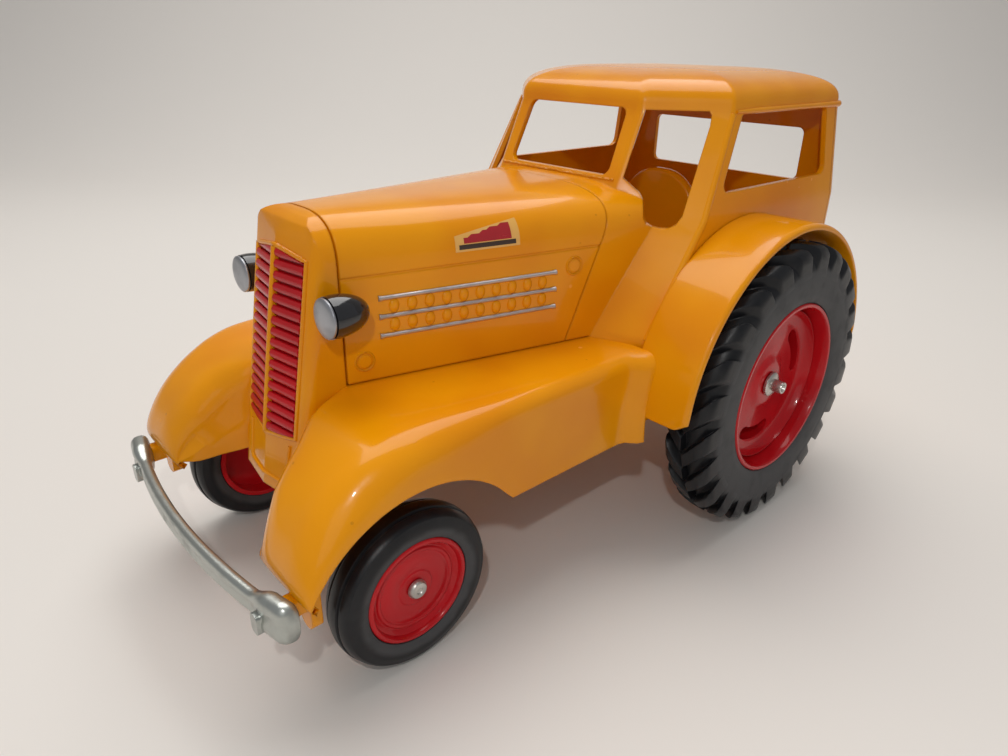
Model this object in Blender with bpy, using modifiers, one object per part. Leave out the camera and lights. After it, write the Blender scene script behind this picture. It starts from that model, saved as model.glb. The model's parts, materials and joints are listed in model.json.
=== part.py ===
"""Toy tractor with a streamlined closed cab, about 1:16, cast in painted metal.

Sizes are in metres. The tractor faces -Y, its left side is +X and it stands on Z = 0.
"""

import math

import bmesh
import bpy
from mathutils import Matrix, Vector

# Clearances
SEAM = 0.0003  # between castings that meet
RUNNING = 0.0003  # between a wheel and what it turns on
WALL = 0.0018  # thickness of every casting wall

# Wheels and axles
REAR_TYRE_RADIUS = 0.0460
REAR_AXLE = Vector((0.0, 0.0560, REAR_TYRE_RADIUS))
REAR_TYRE_WIDTH = 0.0152
REAR_RIM_RADIUS = 0.0279
REAR_TRACK = 0.1276
REAR_AXLE_RADIUS = 0.0020
REAR_WASHER_RADIUS = 0.0040
REAR_WASHER_THICKNESS = 0.0010
REAR_AXLE_STUB = 0.0036
FRONT_TYRE_RADIUS = 0.0218
FRONT_AXLE = Vector((0.0, -0.0701, FRONT_TYRE_RADIUS))
FRONT_TYRE_WIDTH = 0.0113
FRONT_RIM_RADIUS = 0.0144
FRONT_TRACK = 0.0846
FRONT_AXLE_RADIUS = 0.0015
FRONT_HEAD_RADIUS = 0.0026
FRONT_HEAD_THICKNESS = 0.0015
TYRE_STEPS = 40
RIM_STEPS = 32
FRONT_HUB_FACE = 0.0030  # outward from the middle of the front wheel
REAR_HUB_FACE = -0.0024  # a deep dish: the hub face is inboard of the middle

# Hood, from its seam with the nose to its raked seam with the cowl
HOOD_FRONT_Y = -0.0680
HOOD_FRONT_HALF_WIDTH = 0.0160
HOOD_CROWN_Z = 0.1075
HOOD_CREASE_Z = HOOD_CROWN_Z - 0.0140
HOOD_ROUNDNESS = 3.0
HOOD_REAR_Y = -0.0050  # at the foot of the seam
HOOD_REAR_RAKE = 0.37
HOOD_ARC_STEPS = 16

# Nose and grille
NOSE_TOP_Z = HOOD_CROWN_Z - 0.0085
NOSE_TOP_Y = -0.0754
NOSE_LEAN = 0.1777  # forward for each metre down
NOSE_VEE = 0.0018  # the middle stands this far ahead of the grille corners
NOSE_CHIN_Z = 0.0370
NOSE_CHEEK = 0.0016
NOSE_TOP_ROUNDING = 0.0080
GRILLE_HALF_WIDTH = 0.0121
GRILLE_TOP_Z = NOSE_TOP_Z
GRILLE_BOTTOM_Z = 0.0520
GRILLE_POINT = 0.0020  # the middle of the frame stands this far past its corners
GRILLE_BAR = 0.0016
GRILLE_SETBACK = 0.0005
GRILLE_THICKNESS = 0.0012

# Front fenders and running boards
BOARD_TOP_Z = 0.0655
BOARD_OUTER_X = 0.0505
BOARD_EDGE_RADIUS = 0.0050
BOARD_LIP = 0.0040  # how far the board runs in under the hood side
BOARD_BOTTOM_Z = 0.0388
FENDER_NOSE_Y = -0.1015
FENDER_TIP_Z = 0.0340
ARCH_CENTRE = Vector((0.0, -0.0705, 0.0200))
ARCH_RADIUS = 0.0330
ARCH_FRONT_Y = -0.0975

# Rear fenders
REAR_FENDER_RADIUS = REAR_TYRE_RADIUS + 0.0055
REAR_FENDER_OUTER_X = 0.0680
REAR_FENDER_WALL = 0.0020
REAR_FENDER_FRONT_Z = REAR_AXLE.z + 0.0012
REAR_FENDER_REAR_Z = REAR_AXLE.z + 0.0035
REAR_FENDER_STEPS = 36

# Cab: plan stations at the foot, the waist and the drip line
CAB_FOOT_Z = 0.0655
CAB_WAIST_Z = 0.0980
CAB_DRIP_Z = HOOD_CROWN_Z + 0.0197
CAB_SKIRT_Z = 0.0400
CAB_REAR_Y = 0.1155
CAB_HALF_WIDTH = 0.0480
CAB_TOP_HALF_WIDTH = CAB_HALF_WIDTH - 0.0040
CAB_RIDGE_FOOT_Y = REAR_AXLE.y - REAR_FENDER_RADIUS + 0.0055
CAB_RIDGE_WAIST_Y = 0.0320
CAB_RIDGE_TOP_Y = 0.0462
CAB_SHOULDER = 0.0059  # the cowl ends this far inside the cab's widest line
HOOD_FLARE = (CAB_HALF_WIDTH - CAB_SHOULDER - HOOD_FRONT_HALF_WIDTH) / (CAB_RIDGE_TOP_Y - HOOD_FRONT_Y)
SCREEN_HALF_WIDTH = CAB_HALF_WIDTH - 0.0235
SCREEN_WAIST_Y = 0.0151
SCREEN_LEAN = 0.447
CAB_REAR_CORNER_RADIUS = 0.0060
CAB_RIDGE_RADIUS = 0.0025
SCREEN_CORNER_RADIUS = 0.0030
CAB_LOFT_STEPS = 8
CAB_PANEL_SPLIT = 0.0028  # behind the ridge, where the front and side castings meet

# Roof
ROOF_HEIGHT = 0.0100
ROOF_OVERHANG = 0.0012
ROOF_ROUNDNESS = 3.6

# Windows
WINDOW_RADIUS = 0.0020
SIDE_SILL_Z = CAB_DRIP_Z - 0.0222
SIDE_HEAD_Z = CAB_DRIP_Z - 0.0022
SIDE_SILL_Y = (0.0405, 0.1040)
SIDE_HEAD_Y = (0.0500, 0.1030)
REAR_WINDOW_Z = (CAB_DRIP_Z - 0.0272, CAB_DRIP_Z - 0.0092)
REAR_WINDOW_HALF_WIDTH = CAB_HALF_WIDTH - 0.0155
SCREEN_SILL_Z = HOOD_CROWN_Z + 0.0011
SCREEN_HEAD_Z = CAB_DRIP_Z - 0.0010
SCREEN_REACH = 0.0080  # how far ahead of the ridge top the opening's cutter ends
SCREEN_OPENING_HALF_WIDTH = SCREEN_HALF_WIDTH - 0.0030

# Cab inside
FLOOR_TOP_Z = BOARD_TOP_Z - 0.0015
SEAT_Y = 0.0740
SEAT_BACK_RADIUS = 0.0165
SEAT_BACK_CENTRE_Z = 0.0870
SEAT_CUSHION_Z = 0.0810
SEAT_DEPTH = 0.0240
STEERING_CENTRE = Vector((0.0, 0.0440, 0.0930))
STEERING_RADIUS = 0.0130
STEERING_RIM = 0.0011
STEERING_TILT = math.radians(-45)

# Headlights
LAMP_CENTRE = Vector((0.0222, -0.0620, 0.0868))
LAMP_RADIUS = 0.0051
LAMP_LENGTH = 0.0146
LENS_THICKNESS = 0.0012
STALK_RADIUS = 0.0016

# Bumper
BUMPER_HALF_WIDTH = 0.0480
BUMPER_MIDDLE_Y = -0.1090
BUMPER_END_Y = -0.1036
BUMPER_Z = 0.0320
BUMPER_HEIGHT = 0.0052
BUMPER_PAD_HEIGHT = 0.0088
BUMPER_PAD_LENGTH = 0.0090
BUMPER_THICKNESS = 0.0026
BRACKET_X = 0.0430
BRACKET_WIDTH = 0.0040
BRACKET_DROP = 0.0066

# Underframe and drawbar
BEAM_HALF_WIDTH = 0.0100
BEAM_Z = (REAR_AXLE.z - 0.0100, REAR_AXLE.z + 0.0010)
BEAM_FRONT_Y = -0.0780
BEAM_REAR_Y = 0.1000
BLOCK_FRONT_Y = 0.0200
AXLE_LUG_HALF_LENGTH = 0.0060
AXLE_LUG_BELOW = 0.0045
DRAWBAR_HALF_WIDTH = 0.0045
DRAWBAR_Y = (0.0800, 0.1120)
DRAWBAR_THICKNESS = 0.0022
DRAWBAR_HOLE_RADIUS = 0.0020

# The corner window, as (share across the panel, distance below the drip line): its
# lower front corner steps round the shoulder of the cowl.
CORNER_WINDOW = [
    (0.08, 0.0010), (0.08, 0.0180), (0.20, 0.0204), (0.34, 0.0240), (0.40, 0.0278),
    (0.47, 0.0300), (0.56, 0.0310), (0.70, 0.0312), (0.775, 0.0287), (0.79, 0.0032),
    (0.76, 0.0010),
]
CORNER_OUTWARD = Vector((0.55, -0.83, 0.0)) * 0.012

FAR = 0.3  # reaches past everything, for cutters
TRIM = 0.0001  # keeps a trimming solid's face off the face that it trims

PAINTS = {
    "yellow_enamel": ((0.83, 0.33, 0.004, 1.0), 0.16, 0.0),
    "red_enamel": ((0.50, 0.012, 0.014, 1.0), 0.25, 0.0),
    "tyre_rubber": ((0.012, 0.012, 0.013, 1.0), 0.55, 0.0),
    "lamp_black": ((0.010, 0.010, 0.012, 1.0), 0.12, 0.0),
    "lens_silver": ((0.55, 0.57, 0.60, 1.0), 0.25, 0.8),
    "cast_silver": ((0.42, 0.44, 0.41, 1.0), 0.35, 0.9),
    "zinc_steel": ((0.55, 0.53, 0.50, 1.0), 0.30, 1.0),
}


# Scene helpers


def clear_scene():
    for obj in list(bpy.data.objects):
        bpy.data.objects.remove(obj, do_unlink=True)


def make_collection(name, shown):
    collection = bpy.data.collections.new(name)
    bpy.context.scene.collection.children.link(collection)
    collection.hide_render = not shown
    return collection


def paint(name):
    material = bpy.data.materials.get(name)
    if material:
        return material
    colour, roughness, metallic = PAINTS[name]
    material = bpy.data.materials.new(name)
    material.use_nodes = True
    shader = material.node_tree.nodes["Principled BSDF"]
    shader.inputs["Base Color"].default_value = colour
    shader.inputs["Roughness"].default_value = roughness
    shader.inputs["Metallic"].default_value = metallic
    material.diffuse_color = colour
    return material


def add_part(name, mesh, material):
    obj = bpy.data.objects.new(name, mesh)
    mesh.materials.clear()
    mesh.materials.append(paint(material))
    bpy.data.collections["toy_tractor"].objects.link(obj)
    return obj


def add_cutter(name, mesh):
    obj = bpy.data.objects.new(name, mesh)
    obj.hide_render = True
    obj.display_type = "WIRE"
    bpy.data.collections["cutters"].objects.link(obj)
    return obj


def combine(obj, other, operation="DIFFERENCE"):
    modifier = obj.modifiers.new(f"{operation.lower()}_{other.name}", "BOOLEAN")
    modifier.operation = operation
    modifier.object = other
    modifier.solver = "EXACT"


def smooth(mesh, degrees=35):
    mesh.shade_smooth()
    mesh.set_sharp_from_angle(angle=math.radians(degrees))
    return mesh


# Outlines: lists of (u, v) points, anticlockwise


def line_meeting(a, along_a, b, along_b):
    """The point where two lines meet, each given by a point and a direction."""
    cross = along_a.x * along_b.y - along_a.y * along_b.x
    gap = b - a
    reach = (gap.x * along_b.y - gap.y * along_b.x) / cross
    return a + along_a * reach


def inset_outline(points, distance):
    """The outline with every edge moved inwards."""
    points = [Vector(point) for point in points]
    count = len(points)
    edges = []
    for i in range(count):
        along = (points[(i + 1) % count] - points[i]).normalized()
        edges.append((points[i] + Vector((-along.y, along.x)) * distance, along))
    return [line_meeting(*edges[i - 1], *edges[i]) for i in range(count)]


def rounded_outline(points, radii, steps=5):
    """The outline with each corner replaced by an arc."""
    points = [Vector(point) for point in points]
    count = len(points)
    outline = []
    for i, (corner, radius) in enumerate(zip(points, radii)):
        if radius <= 0:
            outline.append(corner)
            continue
        back = (points[i - 1] - corner).normalized()
        ahead = (points[(i + 1) % count] - corner).normalized()
        half = back.angle(ahead) / 2
        centre = corner + (back + ahead).normalized() * (radius / math.sin(half))
        start = corner + back * (radius / math.tan(half)) - centre
        turn = math.pi - 2 * half
        if back.x * ahead.y - back.y * ahead.x > 0:
            turn = -turn
        for step in range(steps + 1):
            outline.append(centre + Matrix.Rotation(turn * step / steps, 2) @ start)
    return outline


def arc_points(centre, radius, start, end, steps):
    """Points on an arc, in degrees."""
    angles = [math.radians(start + (end - start) * i / steps) for i in range(steps + 1)]
    return [
        Vector((centre[0] + radius * math.cos(a), centre[1] + radius * math.sin(a)))
        for a in angles
    ]


# Solids


def loft(name, rings):
    """A closed solid through rings that have the same number of points."""
    bm = bmesh.new()
    loops = [[bm.verts.new(point) for point in ring] for ring in rings]
    count = len(loops[0])
    for near, far in zip(loops, loops[1:]):
        for i in range(count):
            j = (i + 1) % count
            bm.faces.new((near[i], near[j], far[j], far[i]))
    bm.faces.new(list(reversed(loops[0])))
    bm.faces.new(loops[-1])
    bmesh.ops.recalc_face_normals(bm, faces=bm.faces)
    mesh = bpy.data.meshes.new(name)
    bm.to_mesh(mesh)
    bm.free()
    return mesh


AXES = {
    "X": Matrix(((0, 0, 1, 0), (1, 0, 0, 0), (0, 1, 0, 0), (0, 0, 0, 1))),
    "Y": Matrix(((1, 0, 0, 0), (0, 0, 1, 0), (0, 1, 0, 0), (0, 0, 0, 1))),
    "Z": Matrix.Identity(4),
}


def prism(name, outline, axis, low, high):
    """An outline pushed along an axis: (y, z) along X, (x, z) along Y, (x, y) along Z."""
    bm = bmesh.new()
    face = bm.faces.new([bm.verts.new((u, v, low)) for u, v in outline])
    pushed = bmesh.ops.extrude_face_region(bm, geom=[face])["geom"]
    moving = [item for item in pushed if isinstance(item, bmesh.types.BMVert)]
    bmesh.ops.translate(bm, vec=(0, 0, high - low), verts=moving)
    bmesh.ops.transform(bm, matrix=AXES[axis], verts=bm.verts)
    bmesh.ops.recalc_face_normals(bm, faces=bm.faces)
    mesh = bpy.data.meshes.new(name)
    bm.to_mesh(mesh)
    bm.free()
    return mesh


def block(name, low, high):
    """A box between two corners."""
    bm = bmesh.new()
    bmesh.ops.create_cube(bm, size=1)
    low, high = Vector(low), Vector(high)
    bmesh.ops.scale(bm, vec=high - low, verts=bm.verts)
    bmesh.ops.translate(bm, vec=(low + high) / 2, verts=bm.verts)
    mesh = bpy.data.meshes.new(name)
    bm.to_mesh(mesh)
    bm.free()
    return mesh


def rod(name, radius, low, high, centre, axis="X", segments=32):
    """A round bar along an axis, between two places on it."""
    turn = {"X": Matrix.Rotation(math.pi / 2, 4, "Y"), "Z": Matrix.Identity(4)}[axis]
    bm = bmesh.new()
    bmesh.ops.create_cone(
        bm, cap_ends=True, segments=segments, radius1=radius, radius2=radius,
        depth=high - low,
    )
    bmesh.ops.translate(bm, vec=(0, 0, (low + high) / 2), verts=bm.verts)
    bmesh.ops.transform(bm, matrix=Matrix.Translation(centre) @ turn, verts=bm.verts)
    mesh = bpy.data.meshes.new(name)
    bm.to_mesh(mesh)
    bm.free()
    return smooth(mesh)


def turned(name, profile, steps, closed, turn, centre, material):
    """A profile of (radius, height) points turned about its axis, top to bottom outside."""
    mesh = bpy.data.meshes.new(name)
    edges = [(i, i + 1) for i in range(len(profile) - 1)]
    if closed:
        edges.append((len(profile) - 1, 0))
    mesh.from_pydata([(radius, 0, height) for radius, height in profile], edges, [])
    obj = add_part(name, mesh, material)
    screw = obj.modifiers.new("turn", "SCREW")
    screw.steps = screw.render_steps = steps
    screw.use_merge_vertices = True
    screw.merge_threshold = 0.00001
    screw.use_smooth_shade = True
    obj.rotation_euler = turn
    obj.location = centre
    return obj


# Hood, cowl and nose


def hood_half_width(y):
    return HOOD_FRONT_HALF_WIDTH + HOOD_FLARE * (y - HOOD_FRONT_Y)


def hood_rear_y(z):
    return HOOD_REAR_Y + HOOD_REAR_RAKE * (z - BOARD_TOP_Z)


def crown_profile(inset=0.0, foot=BOARD_TOP_Z + SEAM):
    """(across, z) from foot to foot over the crown, where across runs from 1 to -1."""
    profile = [(1.0, foot)]
    for step in range(HOOD_ARC_STEPS + 1):
        angle = math.pi * step / HOOD_ARC_STEPS
        across = math.copysign(abs(math.cos(angle)) ** (2 / HOOD_ROUNDNESS), math.cos(angle))
        rise = math.sin(angle) ** (2 / HOOD_ROUNDNESS)
        profile.append((across, HOOD_CREASE_Z + (HOOD_CROWN_Z - inset - HOOD_CREASE_Z) * rise))
    return profile + [(-1.0, foot)]


def hood_ring(y_of, inset=0.0):
    """The hood's section, where y_of gives the place along it for each height."""
    ring = []
    for across, z in crown_profile(inset):
        y = y_of(z)
        ring.append((across * (hood_half_width(y) - inset), y, z))
    return ring


def hood_shell_ring(y_of):
    return hood_ring(y_of) + list(reversed(hood_ring(y_of, WALL)))


def make_hood():
    front = hood_shell_ring(lambda z: HOOD_FRONT_Y)
    rear = hood_shell_ring(hood_rear_y)
    add_part("hood", smooth(loft("hood", [front, rear])), "yellow_enamel")


def make_cowl(cab_space):
    front = hood_shell_ring(lambda z: hood_rear_y(z) + SEAM)
    rear = hood_shell_ring(lambda z: CAB_RIDGE_TOP_Y)
    cowl = add_part("cowl", smooth(loft("cowl", [front, rear])), "yellow_enamel")
    combine(cowl, cab_space)


def nose_front_y(z):
    return NOSE_TOP_Y - NOSE_LEAN * (NOSE_TOP_Z - z)


def nose_ring(z, inset, rear_y):
    """The nose's plan outline at one height."""
    y = nose_front_y(z) + inset
    half = [
        (HOOD_FRONT_HALF_WIDTH - inset, rear_y),
        (GRILLE_HALF_WIDTH + NOSE_CHEEK - inset, y + NOSE_VEE + 2 * NOSE_CHEEK),
        (GRILLE_HALF_WIDTH - inset / 2, y + NOSE_VEE),
    ]
    outline = half + [(0.0, y)] + [(-x, v) for x, v in reversed(half)]
    return [(x, v, z) for x, v in outline]


def nose_side_profile(inset):
    """(y, z) outline whose top front corner is rounded, to trim the nose with."""
    top = HOOD_CROWN_Z - inset + TRIM
    lean = Vector((-NOSE_LEAN, -1.0)) * FAR
    edge = Vector((NOSE_TOP_Y + inset - (top - NOSE_TOP_Z) * -NOSE_LEAN, top))
    foot = edge + lean
    corners = [(FAR, top), edge, foot, (FAR, foot.y)]
    return rounded_outline(corners, [0, NOSE_TOP_ROUNDING, 0, 0], steps=8)


def nose_solid(name, inset, rear_y, foot):
    """A vee in plan, the hood's section across, with a rounded top edge."""
    rings = [nose_ring(z, inset, rear_y) for z in (foot, HOOD_CROWN_Z + 2 * TRIM)]
    solid = add_cutter(name, loft(name, rings))
    half_width = HOOD_FRONT_HALF_WIDTH - inset + TRIM
    section = [(across * half_width, z) for across, z in crown_profile(inset, foot - FAR)]
    section_name = f"{name}_section"
    combine(solid, add_cutter(section_name, prism(section_name, section, "Y", -FAR, FAR)), "INTERSECT")
    side_name = f"{name}_side"
    side = prism(side_name, nose_side_profile(inset), "X", -FAR, FAR)
    combine(solid, add_cutter(side_name, side), "INTERSECT")
    return solid


def grille_opening(side, margin=0.0):
    """(x, z) outline of one half of the grille, on the left (1) or right (-1)."""
    middle = GRILLE_BAR / 2 + margin
    outer = GRILLE_HALF_WIDTH - margin
    corners = [
        (middle, GRILLE_BOTTOM_Z + margin),
        (outer, GRILLE_BOTTOM_Z + GRILLE_POINT + margin),
        (outer, GRILLE_TOP_Z - GRILLE_POINT - margin),
        (middle, GRILLE_TOP_Z - margin),
    ]
    return [(side * x, z) for x, z in corners]


def make_nose():
    rear_y = HOOD_FRONT_Y - SEAM
    outer = nose_solid("nose_outer", 0.0, rear_y, NOSE_CHIN_Z)
    hollow = nose_solid("nose_hollow", WALL, rear_y + WALL, NOSE_CHIN_Z - WALL)
    mass = block("nose_shell", (-0.03, -0.12, 0.02), (0.03, rear_y, 0.12))
    nose = add_part("nose_shell", mass, "yellow_enamel")
    combine(nose, outer, "INTERSECT")
    combine(nose, hollow)
    for side, name in ((1, "left"), (-1, "right")):
        opening = prism(f"grille_opening_{name}", grille_opening(side), "Y", -FAR, NOSE_TOP_Y + WALL * 2)
        combine(nose, add_cutter(f"grille_opening_{name}", opening))
        make_grille(side, name)


def make_grille(side, name):
    """One half of the louvred insert, set just behind the face of the nose."""
    outline = grille_opening(side, SEAM)
    rings = []
    for depth in (GRILLE_SETBACK, GRILLE_SETBACK + GRILLE_THICKNESS):
        ring = []
        for x, z in outline:
            vee = NOSE_VEE * abs(x) / GRILLE_HALF_WIDTH
            ring.append((x, nose_front_y(z) + vee + depth, z))
        rings.append(ring)
    add_part(f"grille_{name}", loft(f"grille_{name}", rings), "red_enamel")


# Front fenders with their running boards


def fender_profile(inset):
    """(y, z) outline of the fender and board seen from the side, closed far below."""
    top = BOARD_TOP_Z - inset
    nose = FENDER_NOSE_Y + inset
    rear = board_rear_y()
    sweep = [
        Vector((rear, top)), Vector((-0.0640, top)), Vector((-0.0760, top - 0.0010)),
        Vector((-0.0850 + inset * 0.5, top - 0.0045)), Vector((-0.0930 + inset * 0.8, top - 0.0112)),
        Vector((-0.0985 + inset, top - 0.0195)), Vector((nose, FENDER_TIP_Z + 0.0085)),
        Vector((nose + 0.0025, FENDER_TIP_Z)), Vector((nose + 0.0030, FENDER_TIP_Z - 0.02)),
        Vector((rear, FENDER_TIP_Z - 0.02)),
    ]
    return sweep


def board_rear_y():
    return REAR_AXLE.y - REAR_FENDER_RADIUS - SEAM


def fender_solid(name, side, inset, rear_reach):
    """The fender's mass: its side profile across the car, with a rounded outer edge."""
    rings = []
    outer = BOARD_OUTER_X - inset
    radius = BOARD_EDGE_RADIUS - inset * 0.6
    steps = 5
    places = [(0.008, 0.0)]
    for step in range(steps + 1):
        angle = math.pi / 2 * step / steps
        places.append((outer - radius + radius * math.sin(angle), radius * (1 - math.cos(angle))))
    for x, drop in places:
        ring = []
        for y, z in fender_profile(inset + drop):
            reach = rear_reach if y >= board_rear_y() - 1e-6 else 0.0
            ring.append((side * x, y + reach, z))
        rings.append(ring)
    return add_cutter(name, loft(name, rings))


def board_plan(side, inset, rear_reach):
    """(x, y) plan outline: the board under the hood side, then the fender ahead of it."""
    rear = board_rear_y()
    corners = [
        (hood_half_width(rear) - BOARD_LIP, rear),
        (HOOD_FRONT_HALF_WIDTH - BOARD_LIP, HOOD_FRONT_Y + 0.0005),
        (HOOD_FRONT_HALF_WIDTH + 0.0006, HOOD_FRONT_Y + 0.0005),
        (HOOD_FRONT_HALF_WIDTH + 0.0006, HOOD_FRONT_Y - 0.0030),
        (0.0270, -0.0870),
        (0.0345, -0.1000),
        (0.0380, FENDER_NOSE_Y - 0.0100),
        (BOARD_OUTER_X + 0.0100, FENDER_NOSE_Y - 0.0100),
        (BOARD_OUTER_X + 0.0100, rear),
    ]
    if inset:
        corners = inset_outline(corners, inset)
    corners = [(x, y + (rear_reach if y > rear - 0.003 else 0.0)) for x, y in corners]
    outline = [(side * x, y) for x, y in corners]
    return outline if side > 0 else list(reversed(outline))


def arch_cut(side):
    """(y, z) outline of what lies below the fender's lower edge."""
    drop = BOARD_BOTTOM_Z - ARCH_CENTRE.z
    start = math.degrees(math.asin(drop / ARCH_RADIUS))
    end = math.degrees(math.acos((ARCH_FRONT_Y - ARCH_CENTRE.y) / ARCH_RADIUS))
    arch = arc_points((ARCH_CENTRE.y, ARCH_CENTRE.z), ARCH_RADIUS, start, end, 20)
    tip = [(ARCH_FRONT_Y, FENDER_TIP_Z), (-FAR, FENDER_TIP_Z)]
    return [(FAR, BOARD_BOTTOM_Z), *arch, *tip, (-FAR, -FAR), (FAR, -FAR)]


def make_front_fender(side, name):
    part = f"front_fender_{name}"
    outer = prism(part, board_plan(side, 0.0, 0.0), "Z", 0.0, BOARD_TOP_Z + 0.01)
    fender = add_part(part, outer, "yellow_enamel")
    combine(fender, fender_solid(f"{part}_mass", side, 0.0, 0.0), "INTERSECT")
    plan = board_plan(side, WALL, 0.02)
    hollow = add_cutter(f"{part}_hollow", prism(f"{part}_hollow", plan, "Z", -FAR, FAR))
    combine(hollow, fender_solid(f"{part}_hollow_mass", side, WALL, 0.03), "INTERSECT")
    combine(fender, hollow)
    below = prism(f"{part}_arch", arch_cut(side), "X", -FAR, FAR)
    combine(fender, add_cutter(f"{part}_arch", below))


# Rear fenders


def make_rear_fender(side, name):
    def angle_at(z, radius):
        return math.degrees(math.asin((z - REAR_AXLE.z) / radius))

    outer, inner = REAR_FENDER_RADIUS, REAR_FENDER_RADIUS - REAR_FENDER_WALL
    centre = (REAR_AXLE.y, REAR_AXLE.z)
    outline = []
    for radius, turn in ((outer, 1), (inner, -1)):
        ends = [angle_at(REAR_FENDER_REAR_Z, radius), 180 - angle_at(REAR_FENDER_FRONT_Z, radius)]
        outline += arc_points(centre, radius, *ends[::turn], REAR_FENDER_STEPS)
    near, far = sorted((side * (CAB_HALF_WIDTH + SEAM), side * REAR_FENDER_OUTER_X))
    mesh = prism(f"rear_fender_{name}", outline, "X", near, far)
    add_part(f"rear_fender_{name}", smooth(mesh), "yellow_enamel")


# Cab


def between(z, stations):
    """A value read from (z, value) stations, carried on straight past the ends."""
    pairs = list(zip(stations, stations[1:]))
    (z0, v0), (z1, v1) = next((pair for pair in pairs if z <= pair[1][0]), pairs[-1])
    return v0 + (v1 - v0) * (z - z0) / (z1 - z0)


def cab_plan(z, inset=0.0):
    """The cab walls' plan outline at one height, with rounded corners."""
    ridge_x = CAB_HALF_WIDTH
    if z > CAB_WAIST_Z:
        ridge_x = between(z, [(CAB_WAIST_Z, CAB_HALF_WIDTH), (CAB_DRIP_Z, CAB_TOP_HALF_WIDTH)])
    ridge_y = between(max(z, CAB_FOOT_Z), [
        (CAB_FOOT_Z, CAB_RIDGE_FOOT_Y), (CAB_WAIST_Z, CAB_RIDGE_WAIST_Y), (CAB_DRIP_Z, CAB_RIDGE_TOP_Y),
    ])
    screen_y = screen_y_at(max(z, CAB_FOOT_Z))
    corners = [
        (ridge_x, CAB_REAR_Y), (-ridge_x, CAB_REAR_Y), (-ridge_x, ridge_y),
        (-SCREEN_HALF_WIDTH, screen_y), (SCREEN_HALF_WIDTH, screen_y), (ridge_x, ridge_y),
    ]
    radii = [CAB_REAR_CORNER_RADIUS] * 2 + [CAB_RIDGE_RADIUS, SCREEN_CORNER_RADIUS] * 2
    radii[4], radii[5] = SCREEN_CORNER_RADIUS, CAB_RIDGE_RADIUS
    if inset:
        corners = inset_outline(corners, inset)
        radii = [max(radius - inset, 0.0004) for radius in radii]
    return rounded_outline(corners, radii, steps=3)


def screen_y_at(z):
    return SCREEN_WAIST_Y + (z - CAB_WAIST_Z) * SCREEN_LEAN


def cab_levels():
    """Heights at which the walls are lofted: close together where the corner panels twist."""
    levels = [CAB_SKIRT_Z, CAB_FOOT_Z]
    for low, high in ((CAB_FOOT_Z, CAB_WAIST_Z), (CAB_WAIST_Z, CAB_DRIP_Z)):
        levels += [low + (high - low) * step / CAB_LOFT_STEPS for step in range(1, CAB_LOFT_STEPS + 1)]
    return levels


def cab_loft(name, inset, low, high):
    levels = [low, *[z for z in cab_levels() if low < z < high], high]
    return loft(name, [[(x, y, z) for x, y in cab_plan(z, inset)] for z in levels])


def make_cab_shell():
    shell = add_cutter("cab_shell", cab_loft("cab_shell", 0.0, CAB_SKIRT_Z, CAB_DRIP_Z))
    hollow = add_cutter("cab_hollow", cab_loft("cab_hollow", WALL, CAB_SKIRT_Z - WALL, CAB_DRIP_Z + WALL))
    combine(shell, hollow)
    for name, mesh in window_cutters():
        combine(shell, add_cutter(name, mesh))
    bore = rod("cab_axle_bore", REAR_AXLE_RADIUS + SEAM, -FAR, FAR, REAR_AXLE)
    combine(shell, add_cutter("cab_axle_bore", bore))
    return shell


def corner_point(share, z):
    """A point on the left corner panel: share runs from the windscreen to the ridge."""
    ridge_y = between(z, [
        (CAB_FOOT_Z, CAB_RIDGE_FOOT_Y), (CAB_WAIST_Z, CAB_RIDGE_WAIST_Y), (CAB_DRIP_Z, CAB_RIDGE_TOP_Y),
    ])
    ridge_x = CAB_HALF_WIDTH
    if z > CAB_WAIST_Z:
        ridge_x = between(z, [(CAB_WAIST_Z, CAB_HALF_WIDTH), (CAB_DRIP_Z, CAB_TOP_HALF_WIDTH)])
    front = Vector((SCREEN_HALF_WIDTH, screen_y_at(z), z))
    return front.lerp(Vector((ridge_x, ridge_y, z)), share)


def window_cutters():
    side = rounded_outline(
        [(SIDE_SILL_Y[0], SIDE_SILL_Z), (SIDE_SILL_Y[1], SIDE_SILL_Z),
         (SIDE_HEAD_Y[1], SIDE_HEAD_Z), (SIDE_HEAD_Y[0], SIDE_HEAD_Z)],
        [WINDOW_RADIUS] * 4,
    )
    yield "side_windows", prism("side_windows", side, "X", -FAR, FAR)
    half = REAR_WINDOW_HALF_WIDTH
    low, high = REAR_WINDOW_Z
    rear = rounded_outline([(-half, low), (half, low), (half, high), (-half, high)], [WINDOW_RADIUS] * 4)
    yield "rear_window", prism("rear_window", rear, "Y", CAB_REAR_Y - 0.01, FAR)
    half = SCREEN_OPENING_HALF_WIDTH
    low, high = SCREEN_SILL_Z, SCREEN_HEAD_Z
    screen = rounded_outline([(-half, low), (half, low), (half, high), (-half, high)], [WINDOW_RADIUS] * 4)
    yield "screen_opening", prism("screen_opening", screen, "Y", -FAR, CAB_RIDGE_TOP_Y - SCREEN_REACH)
    for sign, name in ((1, "left"), (-1, "right")):
        rings = []
        for step in (-1, 1):
            points = [
                corner_point(share, CAB_DRIP_Z - below) + CORNER_OUTWARD * step
                for share, below in CORNER_WINDOW
            ]
            rings.append([(sign * p.x, p.y, p.z) for p in points])
        yield f"corner_window_{name}", loft(f"corner_window_{name}", rings)


def ridge_line(offset, low, high):
    """(y, z) points down the ridge between corner panel and side, moved back by offset."""
    stations = [(CAB_DRIP_Z, CAB_RIDGE_TOP_Y), (CAB_WAIST_Z, CAB_RIDGE_WAIST_Y), (CAB_FOOT_Z, CAB_RIDGE_FOOT_Y)]
    points = [(y + offset, z) for z, y in stations]
    return [(points[0][0] + 0.001, high), *points, (points[-1][0], low)]


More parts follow.
